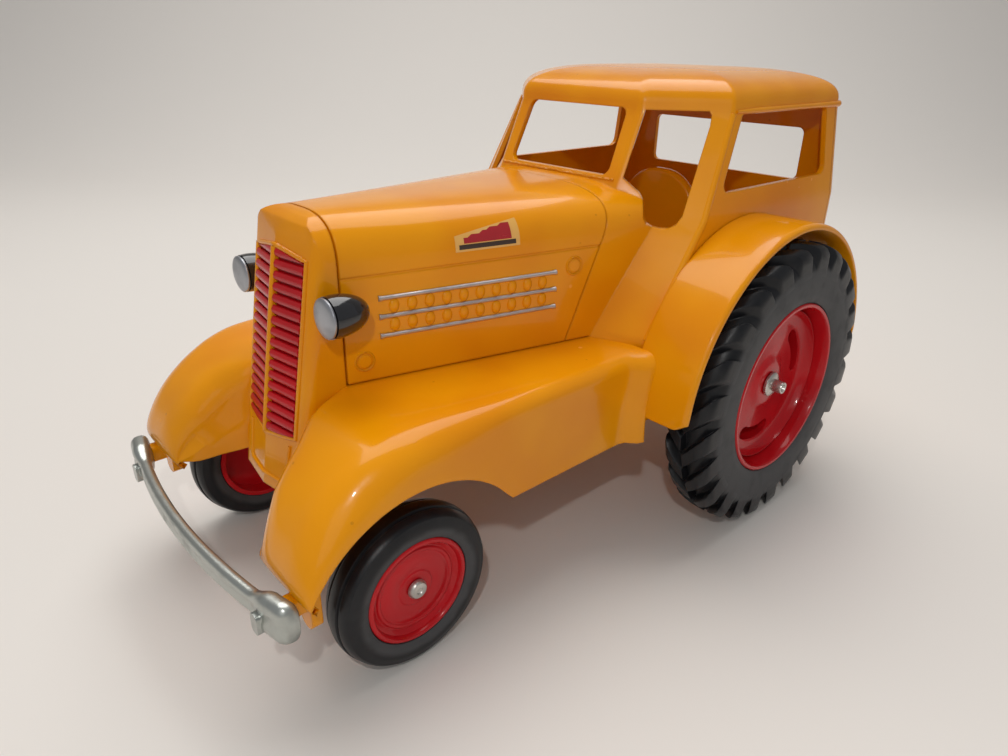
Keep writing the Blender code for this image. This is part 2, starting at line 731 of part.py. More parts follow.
def make_cab_panels(shell):
    front_edge = ridge_line(CAB_PANEL_SPLIT, BOARD_TOP_Z + SEAM, CAB_DRIP_Z + 0.002)
    front = [*front_edge, (-0.02, BOARD_TOP_Z + SEAM), (-0.02, CAB_DRIP_Z + 0.002)]
    panels = [("cab_front", prism("cab_front", front, "X", -0.07, 0.07))]
    rear_y = CAB_REAR_Y - CAB_REAR_CORNER_RADIUS
    side_edge = ridge_line(CAB_PANEL_SPLIT + SEAM, CAB_SKIRT_Z - 0.001, CAB_DRIP_Z + 0.002)
    side = [*side_edge, (rear_y - SEAM, CAB_SKIRT_Z - 0.001), (rear_y - SEAM, CAB_DRIP_Z + 0.002)]
    panels.append(("cab_side_left", prism("cab_side_left", side, "X", 0.02, 0.07)))
    panels.append(("cab_side_right", prism("cab_side_right", side, "X", -0.07, -0.02)))
    low, high = (-0.07, rear_y, CAB_SKIRT_Z - 0.001), (0.07, 0.2, CAB_DRIP_Z + 0.002)
    panels.append(("cab_rear_wall", block("cab_rear_wall", low, high)))
    for name, mesh in panels:
        combine(add_part(name, mesh, "yellow_enamel"), shell, "INTERSECT")


def roof_solid(name, height, inset, low):
    """A shallow dome over the cab's plan outline."""
    middle = Vector((0.0, (screen_y_at(CAB_DRIP_Z) + CAB_REAR_Y) / 2))
    outline = [Vector(point) for point in cab_plan(CAB_DRIP_Z, inset)]
    steps = 7
    rings = [[(p.x, p.y, low) for p in outline]]
    for step in range(steps + 1):
        angle = math.pi / 2 * step / steps * 0.985
        share = math.cos(angle) ** (2 / ROOF_ROUNDNESS)
        rise = math.sin(angle) ** (2 / ROOF_ROUNDNESS)
        ring = [middle + (p - middle) * share for p in outline]
        rings.append([(p.x, p.y, CAB_DRIP_Z + SEAM + 0.0008 + height * rise) for p in ring])
    return loft(name, rings)


def make_roof():
    base = CAB_DRIP_Z + SEAM
    roof = add_part("roof", smooth(roof_solid("roof", ROOF_HEIGHT, -ROOF_OVERHANG, base)), "yellow_enamel")
    hollow = roof_solid("roof_hollow", ROOF_HEIGHT - WALL, WALL, base - 0.005)
    combine(roof, add_cutter("roof_hollow", hollow))


# Cab inside


def make_floor():
    rings = []
    for z in (FLOOR_TOP_Z - WALL, FLOOR_TOP_Z):
        rings.append([(x, y, z) for x, y in cab_plan(z, WALL + SEAM)])
    floor = add_part("cab_floor", loft("cab_floor", rings), "yellow_enamel")
    return floor


def make_seat():
    base = FLOOR_TOP_Z + SEAM
    width = SEAT_BACK_RADIUS
    back_outline = [(width, base), *arc_points((0, SEAT_BACK_CENTRE_Z), width, 0, 180, 16), (-width, base)]
    back = prism("seat", back_outline, "Y", SEAT_Y, SEAT_Y + 0.0045)
    seat = add_part("seat", back, "yellow_enamel")
    cushion = block("seat_cushion", (-width, SEAT_Y - SEAT_DEPTH, base), (width, SEAT_Y + 0.001, SEAT_CUSHION_Z))
    combine(seat, add_cutter("seat_cushion", cushion), "UNION")


def make_steering():
    turn = Matrix.Rotation(STEERING_TILT, 3, "X")
    rim_steps = 6
    rim = [
        (STEERING_RADIUS + STEERING_RIM * math.cos(a), STEERING_RIM * math.sin(a))
        for a in [-2 * math.pi * i / rim_steps for i in range(rim_steps)]
    ]
    name = "steering_wheel"
    wheel = turned(name, rim, 28, True, (STEERING_TILT, 0, 0), STEERING_CENTRE, "yellow_enamel")
    spokes = bmesh.new()
    for angle in (90, 210, 330):
        spin = Matrix.Rotation(math.radians(angle), 4, "Z")
        bar = bmesh.ops.create_cube(spokes, size=1)["verts"]
        bmesh.ops.scale(spokes, vec=(STEERING_RADIUS, 0.0016, 0.0012), verts=bar)
        bmesh.ops.translate(spokes, vec=(STEERING_RADIUS / 2, 0, 0), verts=bar)
        bmesh.ops.rotate(spokes, matrix=spin.to_3x3(), verts=bar)
    radius = 0.0026
    bmesh.ops.create_cone(spokes, cap_ends=True, segments=20, radius1=radius, radius2=radius, depth=0.0024)
    mesh = bpy.data.meshes.new("steering_spokes")
    spokes.to_mesh(mesh)
    spokes.free()
    cutter = add_cutter("steering_spokes", mesh)
    cutter.rotation_euler = (STEERING_TILT, 0, 0)
    cutter.location = STEERING_CENTRE
    combine(wheel, cutter, "UNION")
    wheel.modifiers[-1].use_self = True
    # The column runs down and forward from the hub to the floor.
    down = turn @ Vector((0, 0, -1))
    start = STEERING_CENTRE + down * (0.0012 + SEAM)
    reach = (start.z - FLOOR_TOP_Z) / -down.z + 0.003
    bm = bmesh.new()
    bmesh.ops.create_cone(bm, cap_ends=True, segments=20, radius1=0.0015, radius2=0.0015, depth=reach)
    bmesh.ops.translate(bm, vec=(0, 0, -reach / 2), verts=bm.verts)
    bmesh.ops.transform(bm, matrix=Matrix.Translation(start) @ turn.to_4x4(), verts=bm.verts)
    mesh = bpy.data.meshes.new("steering_column")
    bm.to_mesh(mesh)
    bm.free()
    column = add_part("steering_column", smooth(mesh), "yellow_enamel")
    below = block("below_floor", (-0.05, -0.05, 0.0), (0.05, 0.1, FLOOR_TOP_Z + SEAM))
    combine(column, add_cutter("below_floor", below))


# Wheels and axles


def tyre_profile(outer, inner, width):
    """Closed (radius, height) outline with rounded shoulders, top to bottom outside."""
    half = width / 2
    corners = [(outer, half), (outer, -half), (inner, -half * 0.92), (inner, half * 0.92)]
    radius = min(half * 0.55, (outer - inner) * 0.30)
    rounded = rounded_outline([Vector(c) for c in reversed(corners)], [0, 0, radius, radius], steps=3)
    return [(p.x, p.y) for p in reversed(rounded)]


def rim_profile(radius, half, face, bore, web):
    """Closed outline of a dished rim: barrel, web and hub, top to bottom outside."""
    wall = 0.0014
    hub = bore + 0.0032
    return [
        (radius, half), (radius, -half), (radius - wall, -half),
        (radius - wall, face - web - 0.0016), (hub, face - web - 0.0004), (bore, face - web - 0.0010),
        (bore, face), (hub, face), (hub + 0.0012, face - 0.0016), (radius * 0.82, face - 0.0016),
        (radius - wall - 0.0008, half - 0.0008), (radius - wall, half),
    ]


def make_wheel(name, side, centre, track, tyre_radius, tyre_width, rim_radius, axle_radius, face):
    turn = (0, side * math.pi / 2, 0)
    place = Vector((side * track / 2, centre.y, centre.z))
    tyre = tyre_profile(tyre_radius, rim_radius + SEAM, tyre_width)
    turned(f"{name}_tyre", tyre, TYRE_STEPS, True, turn, place, "tyre_rubber")
    rim = rim_profile(rim_radius, tyre_width / 2 - 0.0007, face, axle_radius + RUNNING, 0.0016)
    turned(f"{name}_rim", rim, RIM_STEPS, True, turn, place, "red_enamel")


def make_axle(name, centre, radius, track, face, cap_radius, cap_thickness, stub):
    """A pin across the tractor, with a washer or rivet head outside each hub."""
    cap_start = track / 2 + face + RUNNING
    cap_end = cap_start + cap_thickness
    end = cap_end + stub
    half = [(cap_radius, cap_end), (cap_radius, cap_start), (radius, cap_start)]
    top = [(0.0, end), (radius, end), (radius, cap_end)] if stub else [(0.0, end)]
    profile = top + half
    profile += [(r, -h) for r, h in reversed(half)] + [(r, -h) for r, h in reversed(top)]
    turned(name, profile, 20, False, (0, math.pi / 2, 0), centre, "zinc_steel")


def make_wheels():
    for side, hand in ((1, "left"), (-1, "right")):
        make_wheel(f"rear_{hand}", side, REAR_AXLE, REAR_TRACK, REAR_TYRE_RADIUS, REAR_TYRE_WIDTH,
                   REAR_RIM_RADIUS, REAR_AXLE_RADIUS, REAR_HUB_FACE)
        make_wheel(f"front_{hand}", side, FRONT_AXLE, FRONT_TRACK, FRONT_TYRE_RADIUS, FRONT_TYRE_WIDTH,
                   FRONT_RIM_RADIUS, FRONT_AXLE_RADIUS, FRONT_HUB_FACE)
    make_axle("rear_axle", REAR_AXLE, REAR_AXLE_RADIUS, REAR_TRACK, REAR_HUB_FACE,
              REAR_WASHER_RADIUS, REAR_WASHER_THICKNESS, REAR_AXLE_STUB)
    make_axle("front_axle", FRONT_AXLE, FRONT_AXLE_RADIUS, FRONT_TRACK, FRONT_HUB_FACE,
              FRONT_HEAD_RADIUS, FRONT_HEAD_THICKNESS, 0.0)


# Underframe, drawbar and bumper


def make_underframe():
    low, high = BEAM_Z
    front_foot = FRONT_AXLE.z - AXLE_LUG_BELOW
    lug = AXLE_LUG_HALF_LENGTH
    block_top = FLOOR_TOP_Z - WALL - SEAM
    outline = [
        (BEAM_FRONT_Y, low), (FRONT_AXLE.y - lug, low), (FRONT_AXLE.y - lug, front_foot),
        (FRONT_AXLE.y + lug, front_foot), (FRONT_AXLE.y + lug, low), (BEAM_REAR_Y, low),
        (BEAM_REAR_Y, block_top), (BLOCK_FRONT_Y, block_top), (BLOCK_FRONT_Y, high), (BEAM_FRONT_Y, high),
    ]
    half = BEAM_HALF_WIDTH
    frame = add_part("underframe", prism("underframe", outline, "X", -half, half), "yellow_enamel")
    for name, centre, radius in (
        ("front_bore", FRONT_AXLE, FRONT_AXLE_RADIUS), ("rear_bore", REAR_AXLE, REAR_AXLE_RADIUS),
    ):
        bore = rod(name, radius + SEAM, -0.05, 0.05, centre)
        combine(frame, add_cutter(name, bore))


def make_drawbar():
    half = DRAWBAR_HALF_WIDTH
    y0, y1 = DRAWBAR_Y
    corners = [(-half, y0), (half, y0), (half, y1), (-half, y1)]
    outline = rounded_outline(corners, [0.0005, 0.0005, half * 0.98, half * 0.98])
    top = BEAM_Z[0] - SEAM
    bar = add_part("drawbar", prism("drawbar", outline, "Z", top - DRAWBAR_THICKNESS, top), "yellow_enamel")
    hole = rod("drawbar_hole", DRAWBAR_HOLE_RADIUS, -0.05, 0.05, (0, y1 - half, top), axis="Z")
    combine(bar, add_cutter("drawbar_hole", hole))


def bumper_y(x):
    """The bowed middle line of the bumper in plan."""
    return BUMPER_MIDDLE_Y + (BUMPER_END_Y - BUMPER_MIDDLE_Y) * (x / BUMPER_HALF_WIDTH) ** 2


def make_bumper():
    rings = []
    count = 32
    for i in range(count + 1):
        x = BUMPER_HALF_WIDTH * (2 * i / count - 1)
        from_end = BUMPER_HALF_WIDTH - abs(x)
        pad = min(1.0, max(0.0, (BUMPER_PAD_LENGTH - from_end) / (BUMPER_PAD_LENGTH / 3)))
        half = (BUMPER_HEIGHT + (BUMPER_PAD_HEIGHT - BUMPER_HEIGHT) * pad) / 2
        y = bumper_y(x)
        deep = BUMPER_THICKNESS / 2
        section = [(y - deep, -half * 0.7), (y - deep * 0.4, -half), (y + deep, -half),
                   (y + deep, half), (y - deep * 0.4, half), (y - deep, half * 0.7)]
        rings.append([(x, v, BUMPER_Z + h) for v, h in section])
    add_part("bumper", smooth(loft("bumper", rings)), "cast_silver")


def make_bumper_bracket(side, name):
    """A tab under the fender tip that holds the end of the bumper."""
    back = bumper_y(BRACKET_X + BRACKET_WIDTH / 2) + BUMPER_THICKNESS / 2 + SEAM
    top = FENDER_TIP_Z - SEAM
    low = (side * BRACKET_X - BRACKET_WIDTH / 2, back, top - BRACKET_DROP)
    high = (side * BRACKET_X + BRACKET_WIDTH / 2, back + 0.0060, top)
    add_part(f"bumper_bracket_{name}", block(f"bumper_bracket_{name}", low, high), "yellow_enamel")


# Headlights


def make_headlight(side, name):
    """A bullet-shaped pod facing forward, its lens and the stalk that carries it."""
    centre = Vector((side * LAMP_CENTRE.x, LAMP_CENTRE.y, LAMP_CENTRE.z))
    face_forward = (math.pi / 2, 0, 0)
    body = LAMP_LENGTH - LENS_THICKNESS - SEAM
    bullet = [(0.0, body), (LAMP_RADIUS, body)]
    for step in range(1, 9):
        angle = math.pi / 2 * step / 8
        bullet.append((LAMP_RADIUS * math.cos(angle) ** 0.8, body * 0.55 * (1 - math.sin(angle))))
    bullet[-1] = (0.0, 0.0)
    turned(f"headlight_{name}", bullet, 24, False, face_forward, centre, "lamp_black")
    front = LAMP_LENGTH
    lens = [(0.0, front), (LAMP_RADIUS * 0.8, front - LENS_THICKNESS * 0.4),
            (LAMP_RADIUS - 0.0003, front - LENS_THICKNESS), (0.0, front - LENS_THICKNESS)]
    turned(f"headlight_lens_{name}", lens, 24, False, face_forward, centre, "lens_silver")


def make_stalk(side, name, nose_space):
    y = LAMP_CENTRE.y - LAMP_LENGTH * 0.65
    low, high = sorted((side * 0.0125, side * (LAMP_CENTRE.x - LAMP_RADIUS - SEAM)))
    stalk = rod(f"headlight_stalk_{name}", STALK_RADIUS, low, high, (0, y, LAMP_CENTRE.z), segments=20)
    combine(add_part(f"headlight_stalk_{name}", stalk, "yellow_enamel"), nose_space)


def centre_on_floor():
    """Moves everything so that the box around it stands on Z = 0, centred on the origin."""
    bpy.context.view_layer.update()
    graph = bpy.context.evaluated_depsgraph_get()
    ys = []
    for obj in bpy.data.collections["toy_tractor"].objects:
        evaluated = obj.evaluated_get(graph)
        ys += [(evaluated.matrix_world @ Vector(corner)).y for corner in evaluated.bound_box]
    shift = -(min(ys) + max(ys)) / 2
    for obj in bpy.data.objects:
        obj.location.y += shift


def main():
    clear_scene()
    make_collection("toy_tractor", True)
    make_collection("cutters", False)
    make_hood()
    cab_space = add_cutter("cab_space", cab_loft("cab_space", -SEAM, CAB_FOOT_Z - 0.02, CAB_DRIP_Z + 0.005))
    make_cowl(cab_space)
    make_nose()
    make_cab_panels(make_cab_shell())
    make_roof()
    make_floor()
    make_seat()
    make_steering()
    make_wheels()
    make_underframe()
    make_drawbar()
    make_bumper()
    nose_space = nose_solid("nose_space", -SEAM, HOOD_FRONT_Y, NOSE_CHIN_Z)
    for side, name in ((1, "left"), (-1, "right")):
        make_front_fender(side, name)
        make_rear_fender(side, name)
        make_headlight(side, name)
        make_stalk(side, name, nose_space)
        make_bumper_bracket(side, name)
    centre_on_floor()


main()
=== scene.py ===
"""Toy tractor with a closed cab: the finished castings, wheels, paint and trim.

Sizes are in metres. The toy faces -Y, its left side is +X and it stands on Z = 0.
Shapes are drawn from a datum 56 mm ahead of the rear axle, then moved to the frame.
"""

import json
import math

import bmesh
import bpy
from bpy.props import FloatProperty, FloatVectorProperty, IntProperty, PointerProperty
from mathutils import Matrix, Vector, noise

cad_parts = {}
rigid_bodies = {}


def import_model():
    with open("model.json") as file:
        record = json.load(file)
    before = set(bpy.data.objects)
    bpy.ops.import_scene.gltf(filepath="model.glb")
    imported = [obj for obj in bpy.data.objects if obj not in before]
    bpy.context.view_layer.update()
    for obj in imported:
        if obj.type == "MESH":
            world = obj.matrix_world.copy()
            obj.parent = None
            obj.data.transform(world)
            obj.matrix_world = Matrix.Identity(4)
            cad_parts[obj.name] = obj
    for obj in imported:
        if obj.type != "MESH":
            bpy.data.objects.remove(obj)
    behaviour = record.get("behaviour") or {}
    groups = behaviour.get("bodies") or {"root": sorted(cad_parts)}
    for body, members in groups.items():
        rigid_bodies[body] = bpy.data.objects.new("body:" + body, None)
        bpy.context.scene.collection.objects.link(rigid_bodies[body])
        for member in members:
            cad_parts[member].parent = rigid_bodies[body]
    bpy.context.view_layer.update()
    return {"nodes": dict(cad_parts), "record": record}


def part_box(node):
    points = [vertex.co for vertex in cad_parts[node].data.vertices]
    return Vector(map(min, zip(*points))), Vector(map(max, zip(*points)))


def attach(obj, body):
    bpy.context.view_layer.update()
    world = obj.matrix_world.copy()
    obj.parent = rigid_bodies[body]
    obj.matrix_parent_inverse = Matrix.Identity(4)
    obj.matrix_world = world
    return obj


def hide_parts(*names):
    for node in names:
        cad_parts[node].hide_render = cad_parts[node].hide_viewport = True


bl_info = {
    "name": "Toy tractor",
    "version": (1, 0, 0),
    "blender": (4, 5, 0),
    "location": "3D View > Sidebar > Toy tractor",
    "description": "Builds the finished surfaces of a toy tractor round its packed frame",
    "category": "Add Mesh",
}

for leftover in list(bpy.data.objects):
    bpy.data.objects.remove(leftover)
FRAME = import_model()


def middle_of(node):
    low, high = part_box(node)
    return (low + high) / 2


REAR_WHEEL = middle_of("rear_left_tyre")
FRONT_WHEEL = middle_of("front_left_tyre")
DATUM = Vector((0.0, REAR_WHEEL.y - 0.0560, 0.0))
SEAM = 0.0003
FAR = 0.3
SIDES = ((1, "left"), (-1, "right"))


# Sizes and colours that a user may change


def colour(name, about, value):
    return FloatVectorProperty(
        name=name, description=about, subtype="COLOR", size=3, min=0, max=1, default=value,
    )


def distance(name, about, low, high, value):
    return FloatProperty(name=name, description=about, subtype="DISTANCE", min=low, max=high, default=value)


class ToyPaint(bpy.types.PropertyGroup):
    enamel: colour("Enamel", "Colour of the body castings", (0.85, 0.32, 0.0015))
    enamel_deep: colour("Thick enamel", "Colour where the enamel has pooled", (0.76, 0.245, 0.001))
    wheel_red: colour("Wheel red", "Colour of the rims and the grille", (0.56, 0.007, 0.012))
    rubber: colour("Rubber", "Colour of the tyres", (0.0085, 0.009, 0.011))
    peel: distance("Orange peel", "Height of the ripple in the enamel", 0, 0.0005, 0.00003)


class ToyWheels(bpy.types.PropertyGroup):
    lugs: IntProperty(
        name="Lugs", description="Lugs on each half of a rear tyre", min=6, max=40, default=24,
    )
    lug_width: distance("Lug width", "Width of a lug at its top", 0.001, 0.008, 0.0048)
    carcass: distance("Tread depth", "Depth of the rear tread between its lugs", 0.0005, 0.005, 0.0028)
    slots: IntProperty(
        name="Slots", description="Openings in each rear wheel disc", min=2, max=12, default=3,
    )


class ToyTrim(bpy.types.PropertyGroup):
    louvres: IntProperty(
        name="Louvres", description="Rows of louvres in the grille", min=5, max=30, default=17,
    )
    vents: IntProperty(
        name="Vents", description="Small vents in each row on the hood side", min=3, max=20, default=10,
    )
    strip: distance("Strip", "Radius of the bright strips on the hood side", 0.0002, 0.002, 0.00055)


class ToyStage(bpy.types.PropertyGroup):
    floor: colour("Floor", "Colour of the floor", (0.80, 0.76, 0.715))
    overhead: FloatProperty(
        name="Overhead", description="Power of the big soft light", subtype="POWER", min=0, default=7.8)
    flash: FloatProperty(
        name="Flash", description="Power of the light by the camera", subtype="POWER", min=0, default=0.16)
    focal_length: FloatProperty(
        name="Focal length", description="Lens of the camera, in mm", min=10, max=200, default=25.547)


# Outlines and solids


def line_meeting(a, along_a, b, along_b):
    """The point where two lines meet, each given by a point and a direction."""
    cross = along_a.x * along_b.y - along_a.y * along_b.x
    gap = b - a
    return a + along_a * ((gap.x * along_b.y - gap.y * along_b.x) / cross)


def inset_outline(points, distance):
    """The outline with every edge moved inwards."""
    points = [Vector(point) for point in points]
    edges = []
    for i, point in enumerate(points):
        along = (points[(i + 1) % len(points)] - point).normalized()
        edges.append((point + Vector((-along.y, along.x)) * distance, along))
    return [line_meeting(*edges[i - 1], *edges[i]) for i in range(len(points))]


def rounded_outline(points, radii, steps=6):
    """The outline with each corner replaced by an arc."""
    points = [Vector(point) for point in points]
    outline = []
    for i, (corner, radius) in enumerate(zip(points, radii)):
        if radius <= 0:
            outline.append(corner)
            continue
        back = (points[i - 1] - corner).normalized()
        ahead = (points[(i + 1) % len(points)] - corner).normalized()
        half = back.angle(ahead) / 2
        centre = corner + (back + ahead).normalized() * (radius / math.sin(half))
        start = corner + back * (radius / math.tan(half)) - centre
        turn = math.pi - 2 * half
        if back.x * ahead.y - back.y * ahead.x > 0:
            turn = -turn
        outline += [centre + Matrix.Rotation(turn * step / steps, 2) @ start for step in range(steps + 1)]
    return outline


def rounded_box(x, z, radii, steps=6):
    """A rectangle's outline with rounded corners, from (low, high) both ways."""
    return rounded_outline([(x[0], z[0]), (x[1], z[0]), (x[1], z[1]), (x[0], z[1])], radii, steps)


def full_turn(steps):
    """Angles in even steps round a circle."""
    return [2 * math.pi * k / steps for k in range(steps)]


def quarter_turn(steps, first=1):
    """Angles in even steps up to a right angle."""
    return [math.pi / 2 * k / steps for k in range(first, steps + 1)]


def between(z, stations):
    """A value read from (place, value) stations, carried on straight past the ends."""
    pairs = list(zip(stations, stations[1:]))
    (z0, v0), (z1, v1) = next((pair for pair in pairs if z <= pair[1][0]), pairs[-1])
    return v0 + (v1 - v0) * (z - z0) / (z1 - z0)


def eased(z, stations):
    """A value read from (place, value) stations, level at each station and past the ends."""
    if z <= stations[0][0]:
        return stations[0][1]
    for (z0, v0), (z1, v1) in zip(stations, stations[1:]):
        if z <= z1:
            share = (z - z0) / (z1 - z0)
            return v0 + (v1 - v0) * share * share * (3 - 2 * share)
    return stations[-1][1]


def finished(bm, name, weld=0.0):
    if weld:
        bmesh.ops.remove_doubles(bm, verts=bm.verts, dist=weld)
    bmesh.ops.recalc_face_normals(bm, faces=bm.faces)
    mesh = bpy.data.meshes.new(name)
    bm.to_mesh(mesh)
    bm.free()
    return mesh


def loft(name, rings, caps=True, closed=True, weld=0.0):
    """A surface through rings that have the same number of points."""
    bm = bmesh.new()
    loops = [[bm.verts.new(point) for point in ring] for ring in rings]
    count = len(loops[0])
    for near, far in zip(loops, loops[1:]):
        for i in range(count if closed else count - 1):
            j = (i + 1) % count
            bm.faces.new((near[i], near[j], far[j], far[i]))
    if caps:
        bm.faces.new(list(reversed(loops[0])))
        bm.faces.new(loops[-1])
    return finished(bm, name, weld)


AXES = {
    "X": Matrix(((0, 0, 1, 0), (1, 0, 0, 0), (0, 1, 0, 0), (0, 0, 0, 1))),
    "Y": Matrix(((1, 0, 0, 0), (0, 0, 1, 0), (0, 1, 0, 0), (0, 0, 0, 1))),
    "Z": Matrix.Identity(4),
}


def prism(name, outline, axis, low, high):
    """An outline pushed along an axis: (y, z) along X, (x, z) along Y, (x, y) along Z."""
    bm = bmesh.new()
    face = bm.faces.new([bm.verts.new((u, v, low)) for u, v in outline])
    pushed = bmesh.ops.extrude_face_region(bm, geom=[face])["geom"]
    moving = [item for item in pushed if isinstance(item, bmesh.types.BMVert)]
    bmesh.ops.translate(bm, vec=(0, 0, high - low), verts=moving)
    bmesh.ops.transform(bm, matrix=AXES[axis], verts=bm.verts)
    return finished(bm, name)


def turned(name, profile, steps, centre, axis=Vector((1, 0, 0))):
    """A profile of (radius, height) points turned about an axis through a centre."""
    spin = Vector((0, 0, 1)).rotation_difference(axis).to_matrix()
    rings = []
    for a in full_turn(steps):
        rings.append(
            [spin @ Vector((r * math.cos(a), r * math.sin(a), height)) + centre for r, height in profile]
        )
    return loft(name, rings + [rings[0]], caps=False, closed=False, weld=0.000002)


def tube(name, points, radii, sides=10, squash=1.0, across=Vector((0, 0, 1))):
    """A round bar along points, with its own radius at each and closed ends."""
    rings = []
    for i, (point, radius) in enumerate(zip(points, radii)):
        ahead = points[min(i + 1, len(points) - 1)] - points[max(i - 1, 0)]
        ahead.normalize()
        u = ahead.cross(across).normalized()
        v = ahead.cross(u).normalized()
        rings.append([
            point + (u * math.cos(a) * squash + v * math.sin(a)) * radius
            for a in full_turn(sides)
        ])
    return loft(name, rings)


def linked(name, data):
    """A new object in the scene."""
    obj = bpy.data.objects.new(name, data)
    bpy.context.scene.collection.objects.link(obj)
    return obj


def carved(name, mesh, tools):
    """The mesh after each (operation, tool mesh) has been worked on it."""
    obj = linked(name, mesh)
    helpers = [linked(f"{name}_tool", tool) for _, tool in tools]
    for (operation, _), helper in zip(tools, helpers):
        modifier = obj.modifiers.new("carve", "BOOLEAN")
        modifier.operation = operation
        modifier.object = helper
        modifier.solver = "EXACT"
    return evaluated_mesh(obj, name, helpers)


def evaluated_mesh(obj, name, helpers=()):
    """The mesh that an object's modifiers make. The object and its helpers are then removed."""
    bpy.context.view_layer.update()
    graph = bpy.context.evaluated_depsgraph_get()
    mesh = bpy.data.meshes.new_from_object(obj.evaluated_get(graph))
    mesh.name = name
    for spent in (obj, *helpers):
        bpy.data.objects.remove(spent)
    return mesh


def with_modifier(name, mesh, kind, **settings):
    """The mesh after one modifier."""
    obj = linked(name, mesh)
    modifier = obj.modifiers.new(kind.lower(), kind)
    for key, value in settings.items():
        setattr(modifier, key, value)
    return evaluated_mesh(obj, name)


def joined(name, meshes, *changes):
    """One mesh that holds all of these, after each change has been made to it."""
    bm = bmesh.new()
    for mesh in meshes:
        bm.from_mesh(mesh)
    for change in changes:
        change(bm)
    mesh = bpy.data.meshes.new(name)
    bm.to_mesh(mesh)
    bm.free()
    return mesh


def mirrored(name, mesh):
    """A copy of the mesh for the other side of the toy."""
    def mirror(bm):
        bmesh.ops.transform(bm, matrix=Matrix.Scale(-1, 4, (1, 0, 0)), verts=bm.verts)
        bmesh.ops.reverse_faces(bm, faces=bm.faces)

    return joined(name, [mesh], mirror)


def add_piece(
    name, mesh, finish, body="body", replaces=(), slot=None, degrees=35, placed=False, even=False,
):
    """A finished piece that rides on a body of the frame."""
    if not placed:
        mesh.transform(Matrix.Translation(DATUM))
    mesh.materials.clear()
    mesh.materials.append(FINISHES[finish])
    mesh.shade_smooth()
    mesh.set_sharp_from_angle(angle=math.radians(degrees))
    obj = linked(name, mesh)
    if even:
        obj.modifiers.new("even_shading", "WEIGHTED_NORMAL").keep_sharp = True
    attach(obj, body)
    if replaces:
        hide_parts(*replaces)


def add_pair(name, mesh, finish, node="", slot=None, body="body", **more):
    """A piece on the toy's left and its mirror image on the right. {} in a name is the side."""
    for (_, hand), shape in zip(SIDES, (mesh, mirrored(name, mesh))):
        nodes = [node.format(hand)] if node else ()
        add_piece(name.format(hand), shape, finish, body.format(hand), nodes, slot, **more)


def add_casting(name, mesh, nodes=(), **more):
    """One enamelled casting of the body."""
    add_piece(name, mesh, "yellow_enamel", replaces=nodes, slot="yellow_enamel", **more)


# What repeats


def repeat_tree():
    """Copies of a shape, each one step and one turn on from the last."""
    tree = bpy.data.node_groups.get("repeat_in_step")
    if tree:
        return tree
    tree = bpy.data.node_groups.new("repeat_in_step", "GeometryNodeTree")
    for name, kind in (
        ("Geometry", "Geometry"), ("Count", "Int"), ("Place", "Vector"), ("Step", "Vector"),
        ("Turn", "Vector"), ("Material", "Material"),
    ):
        tree.interface.new_socket(name, in_out="INPUT", socket_type=f"NodeSocket{kind}")
    tree.interface.new_socket("Geometry", in_out="OUTPUT", socket_type="NodeSocketGeometry")
    add, link = tree.nodes.new, tree.links.new
    given, made = add("NodeGroupInput"), add("NodeGroupOutput")
    index, points = add("GeometryNodeInputIndex"), add("GeometryNodePoints")
    place, turn = add("ShaderNodeVectorMath"), add("ShaderNodeVectorMath")
    place.operation, turn.operation = "MULTIPLY_ADD", "SCALE"
    spin, copies = add("FunctionNodeEulerToRotation"), add("GeometryNodeInstanceOnPoints")
    real, coat = add("GeometryNodeRealizeInstances"), add("GeometryNodeSetMaterial")
    link(given.outputs["Count"], points.inputs["Count"])
    link(given.outputs["Step"], place.inputs[0])
    link(index.outputs[0], place.inputs[1])
    link(given.outputs["Place"], place.inputs[2])
    link(place.outputs[0], points.inputs["Position"])
    link(given.outputs["Turn"], turn.inputs[0])
    link(index.outputs[0], turn.inputs["Scale"])
    link(turn.outputs[0], spin.inputs[0])
    link(points.outputs[0], copies.inputs["Points"])
    link(given.outputs["Geometry"], copies.inputs["Instance"])
    link(spin.outputs[0], copies.inputs["Rotation"])
    link(copies.outputs[0], real.inputs[0])
    link(real.outputs[0], coat.inputs["Geometry"])
    link(given.outputs["Material"], coat.inputs["Material"])
    link(coat.outputs[0], made.inputs[0])
    return tree


def repeated(name, mesh, finish, count, place=(0, 0, 0), step=(0, 0, 0), turn=(0, 0, 0)):
    """One mesh that holds count copies of a shape."""
    obj = linked(name, mesh)
    modifier = obj.modifiers.new("repeat", "NODES")
    modifier.node_group = repeat_tree()
    values = {"Count": count, "Place": place, "Step": step, "Turn": turn, "Material": FINISHES[finish]}
    for item in modifier.node_group.interface.items_tree:
        if item.in_out == "INPUT" and item.name in values:
            modifier[item.identifier] = values[item.name]
    return evaluated_mesh(obj, name)


# Finishes


class Wire:
    """A socket of a material's nodes that takes part in sums."""

    def __init__(self, finish, socket):
        self.finish, self.socket = finish, socket

    def _sum(self, operation, *values):
        return self.finish.node("ShaderNodeMath", {"operation": operation}, dict(enumerate(values))).out()

    def __add__(self, other):
        return self._sum("ADD", self, other)

    __radd__ = __add__

    def __sub__(self, other):
        return self._sum("SUBTRACT", self, other)

    def __rsub__(self, other):
        return self._sum("SUBTRACT", other, self)

    def __mul__(self, other):
        return self._sum("MULTIPLY", self, other)

    __rmul__ = __mul__

    def __gt__(self, other):
        return self._sum("GREATER_THAN", self, other)


class Knot:
    """A node whose outputs are read by name or number."""

    def __init__(self, finish, node):
        self.finish, self.inner = finish, node

    def out(self, which=0):
        return Wire(self.finish, self.inner.outputs[which])


